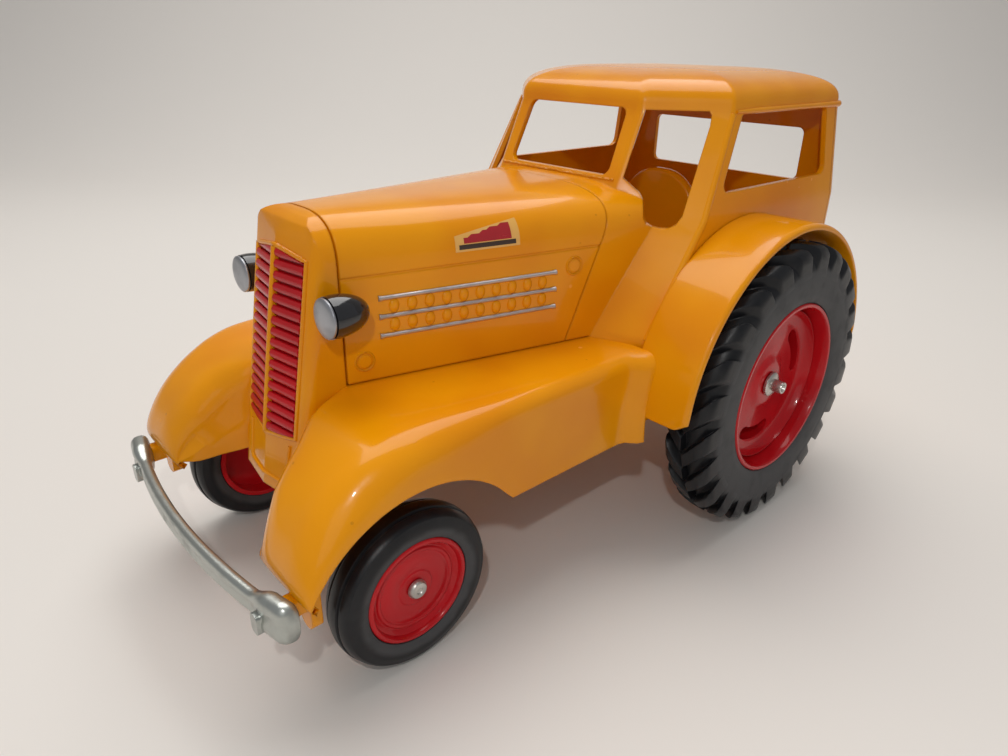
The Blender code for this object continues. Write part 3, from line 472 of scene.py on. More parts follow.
class Finish:
    """A material, and the nodes that vary it over the surface."""

    def __init__(self, name, colour, roughness, **fixed):
        self.material = bpy.data.materials.new(name)
        self.material.use_nodes = True
        self.tree = self.material.node_tree
        self.shader = self.tree.nodes["Principled BSDF"]
        self.set("Base Color", (*colour, 1.0))
        self.set("Roughness", roughness)
        for key, value in fixed.items():
            self.set(key.replace("_", " "), value)
        self.material.diffuse_color = (*colour, 1.0)
        self.place = self.node("ShaderNodeTexCoord").out("Object")

    def set(self, socket, value):
        if isinstance(value, Wire):
            self.tree.links.new(value.socket, self.shader.inputs[socket])
        else:
            self.shader.inputs[socket].default_value = value

    def node(self, kind, settings=None, values=None):
        made = self.tree.nodes.new(kind)
        for key, value in (settings or {}).items():
            setattr(made, key, value)
        for key, value in (values or {}).items():
            if isinstance(value, Wire):
                self.tree.links.new(value.socket, made.inputs[key])
            else:
                made.inputs[key].default_value = value
        return Knot(self, made)

    def noise(self, size, detail=3.0, place=None, roughness=0.5):
        """Soft random values about 0.5, with lumps of a size in metres."""
        values = {
            "Vector": place or self.place, "Scale": 1 / size, "Detail": detail, "Roughness": roughness,
        }
        return self.node("ShaderNodeTexNoise", None, values).out("Fac")

    def ramp(self, value, low, high):
        """0 below low, 1 above high and smooth between them."""
        values = {"Value": value, "From Min": low, "From Max": high}
        settings = {"interpolation_type": "SMOOTHSTEP", "clamp": True}
        return self.node("ShaderNodeMapRange", settings, values).out(0)

    def mix(self, share, first, second):
        """A colour between two others."""
        colours = [c if isinstance(c, Wire) else (*c, 1.0) for c in (first, second)]
        values = {0: share, 6: colours[0], 7: colours[1]}
        return self.node("ShaderNodeMix", {"data_type": "RGBA"}, values).out(2)

    def bump(self, height, depth, normal=None):
        """Relief: height runs from 0 to 1 over depth in metres."""
        values = {"Height": height, "Distance": depth, "Strength": 1.0}
        if normal:
            values["Normal"] = normal
        return self.node("ShaderNodeBump", None, values).out(0)

    def soft_edges(self, radius):
        return self.node("ShaderNodeBevel", {"samples": 4}, {"Radius": radius}).out(0)


FINISHES = {}


def chips(finish, size, share):
    """1 on a few small round specks, 0 elsewhere."""
    specks = finish.node(
        "ShaderNodeTexVoronoi", {"feature": "F1"}, {"Vector": finish.place, "Scale": 1 / size},
    )
    rare = finish.node("ShaderNodeSeparateColor", None, {0: specks.out("Color")}).out(0)
    near = finish.ramp(specks.out("Distance"), 0.16, 0.08)
    return near * (rare > 1 - share)


def enamel_finish(name, colour, deep, peel, soft):
    finish = Finish(name, colour, 0.2, Coat_Roughness=0.04, Coat_IOR=1.45, Specular_IOR_Level=0.15)
    cloudy = finish.noise(0.030, 2.0)
    fine = finish.noise(0.0011, 2.0)
    specks = chips(finish, 0.0052, 0.035)
    pits = chips(finish, 0.0031, 0.05)
    base = finish.mix(finish.ramp(cloudy, 0.38, 0.72) * 0.75, colour, deep)
    base = finish.mix(specks * 0.5, base, tuple(min(1.0, c * 1.05 + 0.10) for c in colour))
    base = finish.mix(pits * 0.35, base, tuple(c * 0.45 for c in colour))
    finish.set("Base Color", base)
    finish.set("Roughness", 0.17 + fine * 0.06 + specks * 0.3 + finish.noise(0.006) * 0.05)
    finish.set("Coat Weight", 0.38 - specks * 0.3)
    ripple = finish.noise(0.0024, 1.0) * 0.7 + fine * 0.3
    relief = finish.bump(ripple, peel, finish.soft_edges(soft))
    finish.set("Normal", finish.bump(pits + specks, 0.00004, relief))
    return finish.material


def rubber_finish(name, colour, axle, band):
    """Rubber that is grey and dull inside the band, and darker and shinier on the tread."""
    finish = Finish(name, colour, 0.5, Specular_IOR_Level=0.3)
    off = finish.node(
        "ShaderNodeVectorMath", {"operation": "SUBTRACT"}, {0: finish.place, 1: tuple(axle)},
    ).out()
    flat = finish.node(
        "ShaderNodeVectorMath", {"operation": "MULTIPLY"}, {0: off, 1: (0.0, 1.0, 1.0)},
    ).out()
    radius = finish.node("ShaderNodeVectorMath", {"operation": "LENGTH"}, {0: flat}).out("Value")
    dust = finish.ramp(finish.noise(0.007, 4.0), 0.45, 0.75)
    grain = finish.noise(0.00045, 3.0)
    bloom = finish.ramp(radius + dust * 0.0006, band + 0.0016, band - 0.0004)
    base = finish.mix(bloom * 0.85, colour, (0.072, 0.072, 0.074))
    finish.set("Base Color", finish.mix(dust * 0.25, base, (0.045, 0.044, 0.043)))
    finish.set("Roughness", 0.28 + bloom * 0.24 + dust * 0.12 + grain * 0.08)
    finish.set("Normal", finish.bump(grain, 0.00003, finish.soft_edges(0.0004)))
    return finish.material


def silver_finish(name, colour, roughness, cast, soft=0.0003):
    finish = Finish(name, colour, roughness, Metallic=0.85)
    cloudy = finish.noise(0.006, 4.0)
    grain = finish.noise(0.0009, 3.0)
    dull = finish.ramp(cloudy, 0.40, 0.70)
    finish.set("Base Color", finish.mix(dull * 0.6, colour, tuple(c * 0.68 for c in colour)))
    finish.set("Roughness", roughness + dull * 0.16 + grain * 0.06)
    finish.set("Normal", finish.bump(cloudy * 0.5 + grain * 0.5, cast, finish.soft_edges(soft)))
    return finish.material


def gloss_finish(name, colour, roughness):
    finish = Finish(name, colour, roughness, Coat_Weight=0.6, Coat_Roughness=0.04)
    smear = finish.noise(0.004, 3.0)
    finish.set(
        "Base Color", finish.mix(smear * 0.3, colour, tuple(min(1.0, c * 1.8 + 0.004) for c in colour)),
    )
    finish.set("Roughness", roughness + smear * 0.08)
    finish.set("Normal", finish.bump(finish.noise(0.0012), 0.000012))
    return finish.material


def film_finish():
    finish = Finish("decal_film", (0.80, 0.47, 0.13), 0.30, Coat_Weight=0.5, Coat_Roughness=0.1)
    cloudy = finish.noise(0.003, 4.0)
    finish.set("Base Color", finish.mix(cloudy, (0.83, 0.40, 0.045), (0.80, 0.50, 0.18)))
    finish.set("Roughness", 0.26 + cloudy * 0.2)
    finish.set("Normal", finish.bump(cloudy, 0.00003))
    return finish.material


def floor_finish(colour):
    finish = Finish("floor_paper", colour, 0.85)
    cloudy = finish.noise(0.25, 3.0)
    finish.set("Base Color", finish.mix(cloudy * 0.3, colour, tuple(c * 0.93 for c in colour)))
    finish.set("Roughness", 0.80 + cloudy * 0.1)
    return finish.material


def make_finishes(paint):
    yellow, deep, red = tuple(paint.enamel), tuple(paint.enamel_deep), tuple(paint.wheel_red)
    FINISHES.update({
        "yellow_enamel": enamel_finish("yellow_enamel", yellow, deep, paint.peel, 0.0008),
        "red_enamel": enamel_finish("red_enamel", red, tuple(c * 0.72 for c in red), paint.peel, 0.0003),
        "tyre": rubber_finish("rear_rubber", tuple(paint.rubber), REAR_WHEEL, 0.0380),
        "front_tyre": rubber_finish("front_rubber", tuple(paint.rubber), FRONT_WHEEL, 0.0165),
        "lamp_body": gloss_finish("lamp_black", (0.008, 0.008, 0.010), 0.10),
        "lens": silver_finish("lens_silver", (0.42, 0.43, 0.46), 0.30, 0.000015),
        "bumper": silver_finish("cast_silver", (0.46, 0.48, 0.45), 0.26, 0.00005),
        "axle_steel": silver_finish("zinc_steel", (0.60, 0.58, 0.54), 0.24, 0.00002, 0.0002),
        "strip": silver_finish("strip_silver", (0.60, 0.58, 0.60), 0.28, 0.00003),
        "decal_red": gloss_finish("decal_red", (0.36, 0.006, 0.012), 0.22),
        "decal_dark": gloss_finish("decal_dark", (0.035, 0.016, 0.008), 0.28),
        "decal_film": film_finish(),
    })
    for row in FRAME["record"]["subparts"]:
        mesh = FRAME["nodes"][row["node"]].data
        mesh.materials.clear()
        mesh.materials.append(FINISHES[row["material_slot"]])


# Hood and nose

HOOD_FRONT_Y = -0.0680
HOOD_FRONT_HALF = 0.0160
HOOD_FLARE = (0.0480 - 0.0059 - HOOD_FRONT_HALF) / (0.0462 - HOOD_FRONT_Y)
HOOD_FOOT_Z = 0.0658
CREASE_Z = 0.0935
CROWN_Z = 0.1075
CROWN_POWER = 2 / 3.0
GROOVE = 0.0003
SHELL_WALL = 0.0018
HOOD_STEPS = 24
NOSE_LEAN = 0.1777
NOSE_TOP = Vector((0.0, -0.0754, 0.0990))
GRILLE_BACK_Y = NOSE_TOP.y + 0.0036
NOSE_VEE = 0.0018
CHIN_Z = 0.0370
GRILLE_HALF = 0.0121
GRILLE_Z = (0.0520, 0.0990)
GRILLE_POINT = 0.0020


def hood_half(y):
    return HOOD_FRONT_HALF + HOOD_FLARE * (y - HOOD_FRONT_Y)


def hood_rear_y(z):
    return -0.0050 + 0.37 * (z - 0.0655)


def crown_point(y, share, proud=0.0):
    """A point on the crown at y: share runs from the left crease (0) over to the right (1)."""
    angle = math.pi * share
    across = math.copysign(abs(math.cos(angle)) ** CROWN_POWER, math.cos(angle))
    rise = max(math.sin(angle), 0.0) ** CROWN_POWER
    half = hood_half(y)
    return Vector((across * (half + proud), y, CREASE_Z + (CROWN_Z + proud - CREASE_Z) * rise))


def hood_section(y_of, inset=0.0, groove=0.0, steps=40):
    """The hood's section from foot to foot, with a fine groove along each crease."""
    side = [(1.0, HOOD_FOOT_Z, 0.0)]
    for z, cut in (
        (CREASE_Z - 0.0012, 0.0), (CREASE_Z - 0.0010, groove), (CREASE_Z - 0.0006, groove),
        (CREASE_Z - 0.0004, 0.0),
    ):
        side.append((1.0, z, cut))
    ring = []
    for across, z, cut in side:
        y = y_of(z)
        ring.append(Vector((across * (hood_half(y) - inset - cut), y, z)))
    for step in range(steps + 1):
        point = crown_point(0.0, step / steps)
        y = y_of(CREASE_Z + (CROWN_Z - inset - CREASE_Z) * (point.z - CREASE_Z) / (CROWN_Z - CREASE_Z))
        ring.append(crown_point(y, step / steps, -inset))
    ring += [Vector((-p.x, p.y, p.z)) for p in reversed(ring[:len(side)])]
    return ring


def shell_section(y_of, wall, groove=0.0):
    return hood_section(y_of, 0.0, groove) + list(reversed(hood_section(y_of, wall, 0.0)))


def build_hood():
    rings = []
    for step in range(HOOD_STEPS + 1):
        share = step / HOOD_STEPS
        rings.append(shell_section(
            lambda z, share=share: HOOD_FRONT_Y + SEAM + (hood_rear_y(z) - HOOD_FRONT_Y - SEAM) * share,
            SHELL_WALL, GROOVE))
    hood = loft("hood_cover", rings)
    add_casting("hood_cover", hood, ["hood"])


def nose_front_y(z):
    return NOSE_TOP.y - NOSE_LEAN * (NOSE_TOP.z - z)


def nose_ring(z, inset, rear_y):
    y = nose_front_y(z) + inset
    cheek = GRILLE_HALF + 0.0006 - inset / 2
    side = HOOD_FRONT_HALF - inset
    outline = [(side, rear_y), (side, y + NOSE_VEE + 0.0004), (cheek, y + NOSE_VEE), (0.0, y)]
    outline += [(-x, v) for x, v in reversed(outline[:3])]
    outline = rounded_outline(
        list(reversed(outline)), [0, 0.0030 - inset, 0.0008, 0.0006, 0.0008, 0.0030 - inset, 0], steps=6,
    )
    return [(p.x, p.y, z) for p in outline]


def nose_block(name, inset, rear_y, foot):
    top = CROWN_Z - inset
    levels = [foot + (top + 0.0002 - foot) * step / 10 for step in range(11)]
    plan = loft(name, [nose_ring(z, inset, rear_y) for z in levels])
    half = HOOD_FRONT_HALF - inset + 0.0001
    section = [(half, foot - 0.1)]
    for step in range(41):
        point = crown_point(HOOD_FRONT_Y, step / 40, -inset)
        section.append((math.copysign(min(abs(point.x) + 0.0001, half), point.x), point.z))
    section.append((-half, foot - 0.1))
    edge = Vector((nose_front_y(top) + inset, top + 0.0001))
    ahead = edge + Vector((-NOSE_LEAN, -1.0)) * 0.1
    corners = [(0.0, edge.y), edge, ahead, (0.0, ahead.y)]
    side = rounded_outline(corners, [0, 0.0085, 0, 0], steps=14)
    return carved(name, plan, [
        ("INTERSECT", prism("crown", section, "Y", -FAR, FAR)),
        ("INTERSECT", prism("side", side, "X", -FAR, FAR)),
    ])


def grille_outline(side, margin=0.0):
    inner, outer = 0.0008 + margin, GRILLE_HALF - margin
    low, high = GRILLE_Z
    corners = [
        (inner, low + margin), (outer, low + GRILLE_POINT + margin),
        (outer, high - GRILLE_POINT - margin), (inner, high - margin),
    ]
    return [(side * x, z) for x, z in corners]


def on_grille(x, z, proud=0.0):
    """A point on the sloping face of the nose, which is a shallow vee in plan."""
    return Vector((x, nose_front_y(z) + NOSE_VEE * abs(x) / GRILLE_HALF - proud, z))


def build_nose():
    rear_y = HOOD_FRONT_Y - SEAM
    shell = nose_block("nose_casting", 0.0, rear_y, CHIN_Z)
    tools = [
        ("DIFFERENCE", nose_block("nose_hollow", SHELL_WALL, rear_y + SHELL_WALL, CHIN_Z - SHELL_WALL))
    ]
    for side, _ in SIDES:
        tools.append(("DIFFERENCE", prism("opening", grille_outline(side), "Y", -FAR, GRILLE_BACK_Y)))
    nose = carved("nose_casting", shell, tools)
    add_casting("nose_casting", nose, ["nose_shell"], even=True)
    add_casting("grille_frame", joined("grille_frame", [grille_bead(), grille_rib(), chin_rim()]))


def grille_bead():
    """The raised bead round the grille."""
    low, high = GRILLE_Z
    outer = GRILLE_HALF + 0.0004
    corners = [(0.0, low - 0.0004), (outer, low + 0.0016), (outer, high - 0.0016), (0.0, high + 0.0004)]
    corners += [(-x, z) for x, z in reversed(corners[1:3])]
    bead = [on_grille(x, z, 0.0001) for x, z in corners]
    path = []
    for i, point in enumerate(bead):
        ahead = bead[(i + 1) % len(bead)]
        path += [point.lerp(ahead, k / 8) for k in range(8)]
    rings = []
    for i, point in enumerate(path):
        along = (path[(i + 1) % len(path)] - path[i - 1]).normalized()
        out = Vector((0, -1, 0))
        across = along.cross(out).normalized()
        rings.append(
            [point + across * math.cos(a) * 0.00065 + out * math.sin(a) * 0.00055 for a in full_turn(10)]
        )
    return loft("grille_bead", rings + [rings[0]], caps=False, weld=0.000001)


def grille_rib():
    """The rib down the middle of the grille."""
    low, high = GRILLE_Z
    path = [on_grille(0.0, low + (high - low) * k / 10, 0.0002) for k in range(11)]
    return tube("grille_rib", path, [0.00075] * 11, sides=12)


def chin_rim():
    """The fine rim that outlines the chin under the grille."""
    left = [(0.0088, 0.0402), (0.0098, 0.0412), (0.0104, GRILLE_Z[0] - 0.0010)]
    corners = [(-x, z) for x, z in reversed(left)] + left
    plan = [Vector(a).lerp(Vector(b), k / 6) for a, b in zip(corners, corners[1:]) for k in range(6)]
    path = [on_grille(p.x, p.y, 0.0001) for p in [*plan, Vector(corners[-1])]]
    return tube("chin_rim", path, [0.00055] * len(path), sides=10, across=Vector((0, 1, 0)))


LOUVRE_PROFILE = [(0.0, 0.46), (-0.5, 0.40), (-0.95, 0.16), (-1.0, -0.10), (-0.75, -0.30), (0.0, -0.40)]
LOUVRE_DEPTH = 0.0009


def build_grille(trim):
    low, high = GRILLE_Z
    pitch = (high - low) / trim.louvres
    rings = []
    for k in range(5):
        base = on_grille(0.0002 + (GRILLE_HALF + 0.0008) * k / 4, high - pitch / 2, -0.0002)
        rings.append(
            [base + Vector((0, depth * LOUVRE_DEPTH, rise * pitch)) for depth, rise in LOUVRE_PROFILE]
        )
    step = (0, -NOSE_LEAN * pitch, -pitch)
    rows = repeated("louvres", loft("louvre", rings), "red_enamel", trim.louvres, step=step)
    opening = prism("opening", grille_outline(1, SEAM / 2), "Y", -FAR, GRILLE_BACK_Y)
    rows = carved("grille_louvres", rows, [("INTERSECT", opening)])
    add_pair("grille_louvres_{}", rows, "red_enamel", slot="red_enamel")


# Cab with its roof and cowl

CAB_FOOT_Z, CAB_WAIST_Z, CAB_DRIP_Z, CAB_SKIRT_Z = 0.0655, 0.0980, 0.1272, 0.0400
CAB_REAR_Y, CAB_HALF, CAB_TOP_HALF = 0.1155, 0.0480, 0.0440
RIDGE_LINE = [(CAB_FOOT_Z, 0.0100), (CAB_WAIST_Z, 0.0320), (CAB_DRIP_Z, 0.0462)]
SCREEN_HALF, SCREEN_LEAN = 0.0245, 0.447
ROOF_RISE = 0.0108
CORNER_WINDOW = [
    (0.06, 0.0002), (0.07, 0.0186), (0.13, 0.0196), (0.20, 0.0209), (0.28, 0.0222), (0.34, 0.0241),
    (0.375, 0.0262), (0.40, 0.0284), (0.45, 0.0302), (0.52, 0.0311), (0.60, 0.0314), (0.69, 0.0313),
    (0.745, 0.0302), (0.775, 0.0278), (0.79, 0.0040), (0.775, 0.0012), (0.74, 0.0002),
]


def screen_y(z):
    return 0.0151 + (z - CAB_WAIST_Z) * SCREEN_LEAN


def ridge_half(z):
    return CAB_HALF if z <= CAB_WAIST_Z else between(
        z, [(CAB_WAIST_Z, CAB_HALF), (CAB_DRIP_Z, CAB_TOP_HALF)],
    )


def cab_plan(z, inset=0.0):
    """The cab walls' plan outline at one height, with rounded corners."""
    x, y = ridge_half(z), between(max(z, CAB_FOOT_Z), RIDGE_LINE)
    front = screen_y(max(z, CAB_FOOT_Z))
    corners = [
        (x, CAB_REAR_Y), (-x, CAB_REAR_Y), (-x, y), (-SCREEN_HALF, front), (SCREEN_HALF, front), (x, y),
    ]
    radii = [0.0060, 0.0060, 0.0022, 0.0040, 0.0040, 0.0022]
    if inset:
        corners = inset_outline(corners, inset)
        radii = [max(radius - inset, 0.0004) for radius in radii]
    return rounded_outline(corners, radii, steps=6)


def cab_solid(name, inset, foot):
    """The cab's whole mass, walls and domed roof together."""
    rings = []
    levels = [foot, CAB_FOOT_Z]
    levels += [CAB_FOOT_Z + (CAB_WAIST_Z - CAB_FOOT_Z) * k / 12 for k in range(1, 13)]
    levels += [CAB_WAIST_Z + (CAB_DRIP_Z - CAB_WAIST_Z) * k / 12 for k in range(1, 13)]
    for z in levels:
        rings.append([(p.x, p.y, z) for p in cab_plan(z, inset)])
    outline = [Vector(p) for p in cab_plan(CAB_DRIP_Z, inset)]
    middle = Vector((0.0, (screen_y(CAB_DRIP_Z) + CAB_REAR_Y) / 2))
    steps = 22
    for step in range(1, steps + 1):
        angle = math.pi / 2 * 0.992 * step / steps
        share = math.cos(angle) ** (2 / 3.4)
        rise = math.sin(angle) ** (2 / 2.9)
        ring = [middle + (p - middle) * share for p in outline]
        rings.append([(p.x, p.y, CAB_DRIP_Z + (ROOF_RISE - inset) * rise) for p in ring])
    return loft(name, rings)


def corner_point(share, z):
    front = Vector((SCREEN_HALF, screen_y(z), z))
    return front.lerp(Vector((ridge_half(z), between(z, RIDGE_LINE), z)), share)


def window_tools():
    side = rounded_outline(
        [(0.0405, 0.1050), (0.1040, 0.1050), (0.1030, 0.1262), (0.0508, 0.1262)],
        [0.0022, 0.0030, 0.0012, 0.0016],
    )
    yield "DIFFERENCE", prism("side_windows", side, "X", -FAR, FAR)
    rear = rounded_box((-0.0325, 0.0325), (0.1000, 0.1180), [0.0022] * 4)
    yield "DIFFERENCE", prism("rear_window", rear, "Y", CAB_REAR_Y - 0.01, FAR)
    screen = rounded_outline(
        [(-0.0210, 0.1088), (0.0210, 0.1088), (0.0200, 0.1272), (-0.0200, 0.1272)], [0.0024] * 4,
    )
    yield "DIFFERENCE", prism("windscreen", screen, "Y", -FAR, 0.0382)
    outward = Vector((0.55, -0.83, 0.0)) * 0.012
    for sign, _ in SIDES:
        rings = []
        for step in (-1, 1):
            points = [
                corner_point(share, CAB_DRIP_Z - below) + outward * step
                for share, below in CORNER_WINDOW
            ]
            rings.append([(sign * p.x, p.y, p.z) for p in points])
        yield "DIFFERENCE", loft("corner_window", rings)
    for sign, _ in SIDES:
        seam = [(0.1092, CAB_FOOT_Z), (0.1096, CAB_FOOT_Z), (0.1096, CAB_DRIP_Z), (0.1092, CAB_DRIP_Z)]
        x = sorted((sign * (CAB_TOP_HALF - 0.0003), sign * 0.06))
        groove = prism("corner_seam", seam, "X", *x)
        for vertex in groove.vertices:
            if abs(vertex.co.x) < 0.05:
                vertex.co.x = sign * (ridge_half(vertex.co.z) - 0.0003)
        yield "DIFFERENCE", groove


def build_cab():
    outer = cab_solid("cab_casting", 0.0, CAB_SKIRT_Z)
    cowl_rings = [
        shell_section(lambda z, k=k: hood_rear_y(z) + SEAM + (0.0475 - hood_rear_y(z)) * k / 10, SHELL_WALL)
        for k in range(11)
    ]
    hollow = cab_solid("cab_hollow", SHELL_WALL, CAB_SKIRT_Z - 0.001)
    bore = turned(
        "bore", [(0, -0.1), (0.0023, -0.1), (0.0023, 0.1), (0, 0.1)], 24, Vector((0, 0.0560, 0.0460)),
    )
    cab = carved("cab_casting", outer, [
        ("UNION", loft("cowl", cowl_rings)), ("DIFFERENCE", hollow), *window_tools(), ("DIFFERENCE", bore),
    ])
    nodes = ["cab_front", "cab_side_left", "cab_side_right", "cab_rear_wall", "roof", "cowl"]
    add_casting("cab_casting", cab, nodes, degrees=32, even=True)
    build_cab_trim()


DRIP_CORNER, DRIP_Y, DRIP_REACH = 0.0060, 0.1095, 0.0061
SILL_Z, SILL_HALF, SILL_STEPS = 0.1084, 0.0238, 160


def drip_lip(sign):
    """The lip under the roof: it starts at the ridge and runs back round the rear corner."""
    start, near = between(CAB_DRIP_Z, RIDGE_LINE), CAB_TOP_HALF - DRIP_CORNER
    plan = [(CAB_TOP_HALF + 0.0001, start + 0.0012 + (DRIP_Y - 0.0005 - start) * k / 16) for k in range(17)]
    plan += [(near + DRIP_REACH * math.cos(a), DRIP_Y + DRIP_REACH * math.sin(a)) for a in quarter_turn(6)]
    plan += [(near * (1 - k / 6), DRIP_Y + DRIP_REACH) for k in range(1, 7)]
    path = [Vector((sign * x, y, CAB_DRIP_Z - 0.0002)) for x, y in plan]
    swell = [0.00035 * min(1.0, k / 3) + 0.00025 * math.exp(-((k - 18) / 4) ** 2) for k in range(len(path))]
    return tube("drip_lip", path, [0.0005 + more for more in swell], sides=12)


def pillar_ridge(sign):
    """The rounded ridge down the edge between the corner window and the side."""
    path = []
    for k in range(31):
        z = CAB_DRIP_Z - 0.0010 - (CAB_DRIP_Z - CAB_FOOT_Z - 0.0020) * k / 30
        path.append(Vector((sign * (ridge_half(z) - 0.0009), between(z, RIDGE_LINE) + 0.0008, z)))
    return tube("pillar_ridge", path, [0.00125] * 31, sides=14, across=Vector((1, 0, 0)))


def build_cab_trim():
    edges = [make(sign) for sign, _ in SIDES for make in (drip_lip, pillar_ridge)]
    add_casting("cab_edges", joined("cab_edges", edges))
    # A rough line of casting flash was left under the windscreen.
    path, radii = [], []
    for k in range(SILL_STEPS + 1):
        x = SILL_HALF - 2 * SILL_HALF * k / SILL_STEPS
        coarse, fine = noise.noise(Vector((x * 700, 3.1, 0.0))), noise.noise(Vector((x * 1900, 7.7, 0.0)))
        rough = coarse * 0.5 + fine * 0.35
        path.append(
            Vector((x, screen_y(SILL_Z) - 0.0001 + rough * 0.0003, SILL_Z - 0.0006 + rough * 0.0002))
        )
        radii.append(0.00042 + 0.00028 * abs(rough))
    flash = tube("sill_flash", path, radii, sides=10)
    for vertex in flash.vertices:
        vertex.co += noise.noise_vector(vertex.co * 2600) * 0.00035
    add_casting("sill_flash", flash)


# Fenders

BOARD_TOP_Z, BOARD_FOOT_Z, BOARD_OUTER = 0.0655, 0.0388, 0.0505
ARCH = Vector((-0.0705, 0.0200))
ARCH_RADIUS = 0.0330
FENDER_CROWN = [
    (-0.0600, 0.0655), (-0.0680, 0.0653), (-0.0740, 0.0646), (-0.0800, 0.0630), (-0.0850, 0.0607),
    (-0.0895, 0.0576), (-0.0935, 0.0537), (-0.0968, 0.0492), (-0.0994, 0.0444), (-0.1010, 0.0398),
    (-0.1008, 0.0365), (-0.0994, 0.0343),
]
REAR_AXLE = Vector((0.0560, 0.0460))
REAR_FENDER_RADIUS = 0.0515


def spline_points(points, count):
    """Evenly counted points on a smooth curve through the given ones."""
    points = [Vector(p) for p in points]
    ends = [points[0] * 2 - points[1], *points, points[-1] * 2 - points[-2]]
    made = []
    for k in range(count + 1):
        place = (len(points) - 1) * k / count
        i = min(int(place), len(points) - 2)
        t = place - i
        a, b, c, d = ends[i:i + 4]
        made.append(
            0.5 * (
                (2 * b) + (c - a) * t + (2 * a - 5 * b + 4 * c - d) * t * t + (
                    3 * b - a - 3 * c + d
                ) * t ** 3
            )
        )
    return made


def fender_stations():
    """(y, z, inward direction, depth) along the top of the board and over the fender."""
    stations = []
    rear = 0.0045
    for k in range(31):
        y = rear + (-0.0600 - rear) * k / 30
        foot = BOARD_FOOT_Z
        if y < ARCH.x + ARCH_RADIUS:
            foot = max(foot, ARCH.y + math.sqrt(max(ARCH_RADIUS ** 2 - (y - ARCH.x) ** 2, 0.0)))
        stations.append((y, BOARD_TOP_Z, Vector((0.0, -1.0)), BOARD_TOP_Z - foot))
    for point in spline_points(FENDER_CROWN, 46)[1:]:
        if point.x > ARCH.x:
            foot = ARCH.y + math.sqrt(ARCH_RADIUS ** 2 - (point.x - ARCH.x) ** 2)
            stations.append((point.x, point.y, Vector((0.0, -1.0)), point.y - foot))
            continue
        gap = ARCH - point
        stations.append((point.x, point.y, gap.normalized(), max(gap.length - ARCH_RADIUS, 0.0009)))
    return stations


FENDER_WALL_Y = -0.0705


def fender_inner(y):
    """How far out the fender's inner wall stands at y."""
    stations = [
        (-0.0045, hood_half(0.0045) - 0.0035), (0.0650, hood_half(-0.0650) - 0.0030), (0.0740, 0.0159),
        (0.0810, 0.0171),
        (0.0880, 0.0203), (0.0950, 0.0223), (0.1010, 0.0266),
    ]
    return max(between(-y, stations), 0.0130)


def fender_inner_foot(y):
    return between(
        -y, [(0.0700, 0.0440), (0.0760, 0.0420), (0.0880, 0.0390), (0.0990, 0.0370), (0.1020, 0.0360)],
    )


def fender_section(y, z, inward, depth):
    """Points across the fender from its inner foot over the crown to its outer foot."""
    inner = fender_inner(y)
    flare = max(0.0, y + 0.0025)
    outer = BOARD_OUTER + (0.0052 - math.sqrt(max(0.0052 ** 2 - min(flare, 0.0051) ** 2, 0.0)))
    width = outer - inner
    outer_r = eased(-y, [(0.0400, 0.0042), (0.0700, 0.0080), (0.0900, 0.0105), (0.1005, 0.0088)])
    inner_r = eased(-y, [(0.0660, 0.0006), (0.0740, 0.0025), (0.0880, 0.0080), (0.1005, 0.0090)])
    scale = min(1.0, width / (outer_r + inner_r + 0.0004))
    outer_r, inner_r = outer_r * scale, inner_r * scale
    outer_d, inner_d = min(outer_r, depth * 0.96), min(inner_r, depth * 0.96)
    wall = max(depth, (z - fender_inner_foot(y)) / max(-inward.y, 0.2)) if y < FENDER_WALL_Y else depth
    section = [
        (inner, wall), (inner, inner_d + (wall - inner_d) * 0.66),
        (inner, inner_d + (wall - inner_d) * 0.33),
    ]
    for a in quarter_turn(8, 0):
        section.append((inner + inner_r * (1 - math.cos(a)), inner_d * (1 - math.sin(a))))
    for k in range(1, 6):
        section.append((inner + inner_r + (width - inner_r - outer_r) * k / 6, 0.0))
    for a in quarter_turn(12, 0):
        section.append((outer - outer_r * (1 - math.sin(a)), outer_d * (1 - math.cos(a))))
    for k in range(1, 5):
        section.append((outer, outer_d + (depth - outer_d) * k / 4))
    points = []
    for i, (x, down) in enumerate(section):
        p = Vector((y, z)) + inward * down
        if i < 3 and y < FENDER_WALL_Y:
            x = fender_inner(p.x)
        points.append(Vector((x, p.x, p.y)))
    return points


def rear_face_y(z):
    return REAR_AXLE.x - math.sqrt(REAR_FENDER_RADIUS ** 2 - (z - REAR_AXLE.y) ** 2) + 0.0003


def build_front_fenders():
    rings = []
    for y, z, inward, depth in fender_stations():
        ring = fender_section(y, z, inward, depth)
        if y > -0.0100:
            share = (y + 0.0100) / 0.0145
            ring = [Vector((p.x, -0.0100 + (rear_face_y(p.z) + 0.0100) * share, p.z)) for p in ring]
        rings.append(ring)
    skin = loft("fender", rings, caps=False, closed=False)
    centre = Vector((0.040, -0.050, 0.045))
    outward = sum((f.center - centre).normalized().dot(f.normal) for f in skin.polygons)
    shell = with_modifier(
        "fender", skin, "SOLIDIFY", thickness=0.0014, offset=-1.0 if outward > 0 else 1.0,
        use_even_offset=True, use_rim=True,
    )
    bm = bmesh.new()
    bm.from_mesh(shell)
    shell = finished(bm, "fender")
    add_pair("fender_casting_{}", shell, "yellow_enamel", "front_fender_{}", "yellow_enamel")


REAR_FENDER_WALL = 0.0019
REAR_FENDER_FOOT, REAR_FENDER_HEEL = 0.0012, 0.0035
REAR_FENDER_X = (CAB_HALF + 0.0003, 0.0680)
REAR_FENDER_CORNER, REAR_FENDER_ROLL, REAR_FENDER_DROP = 0.0032, 0.0016, 0.0012
REAR_FENDER_STEPS = 72


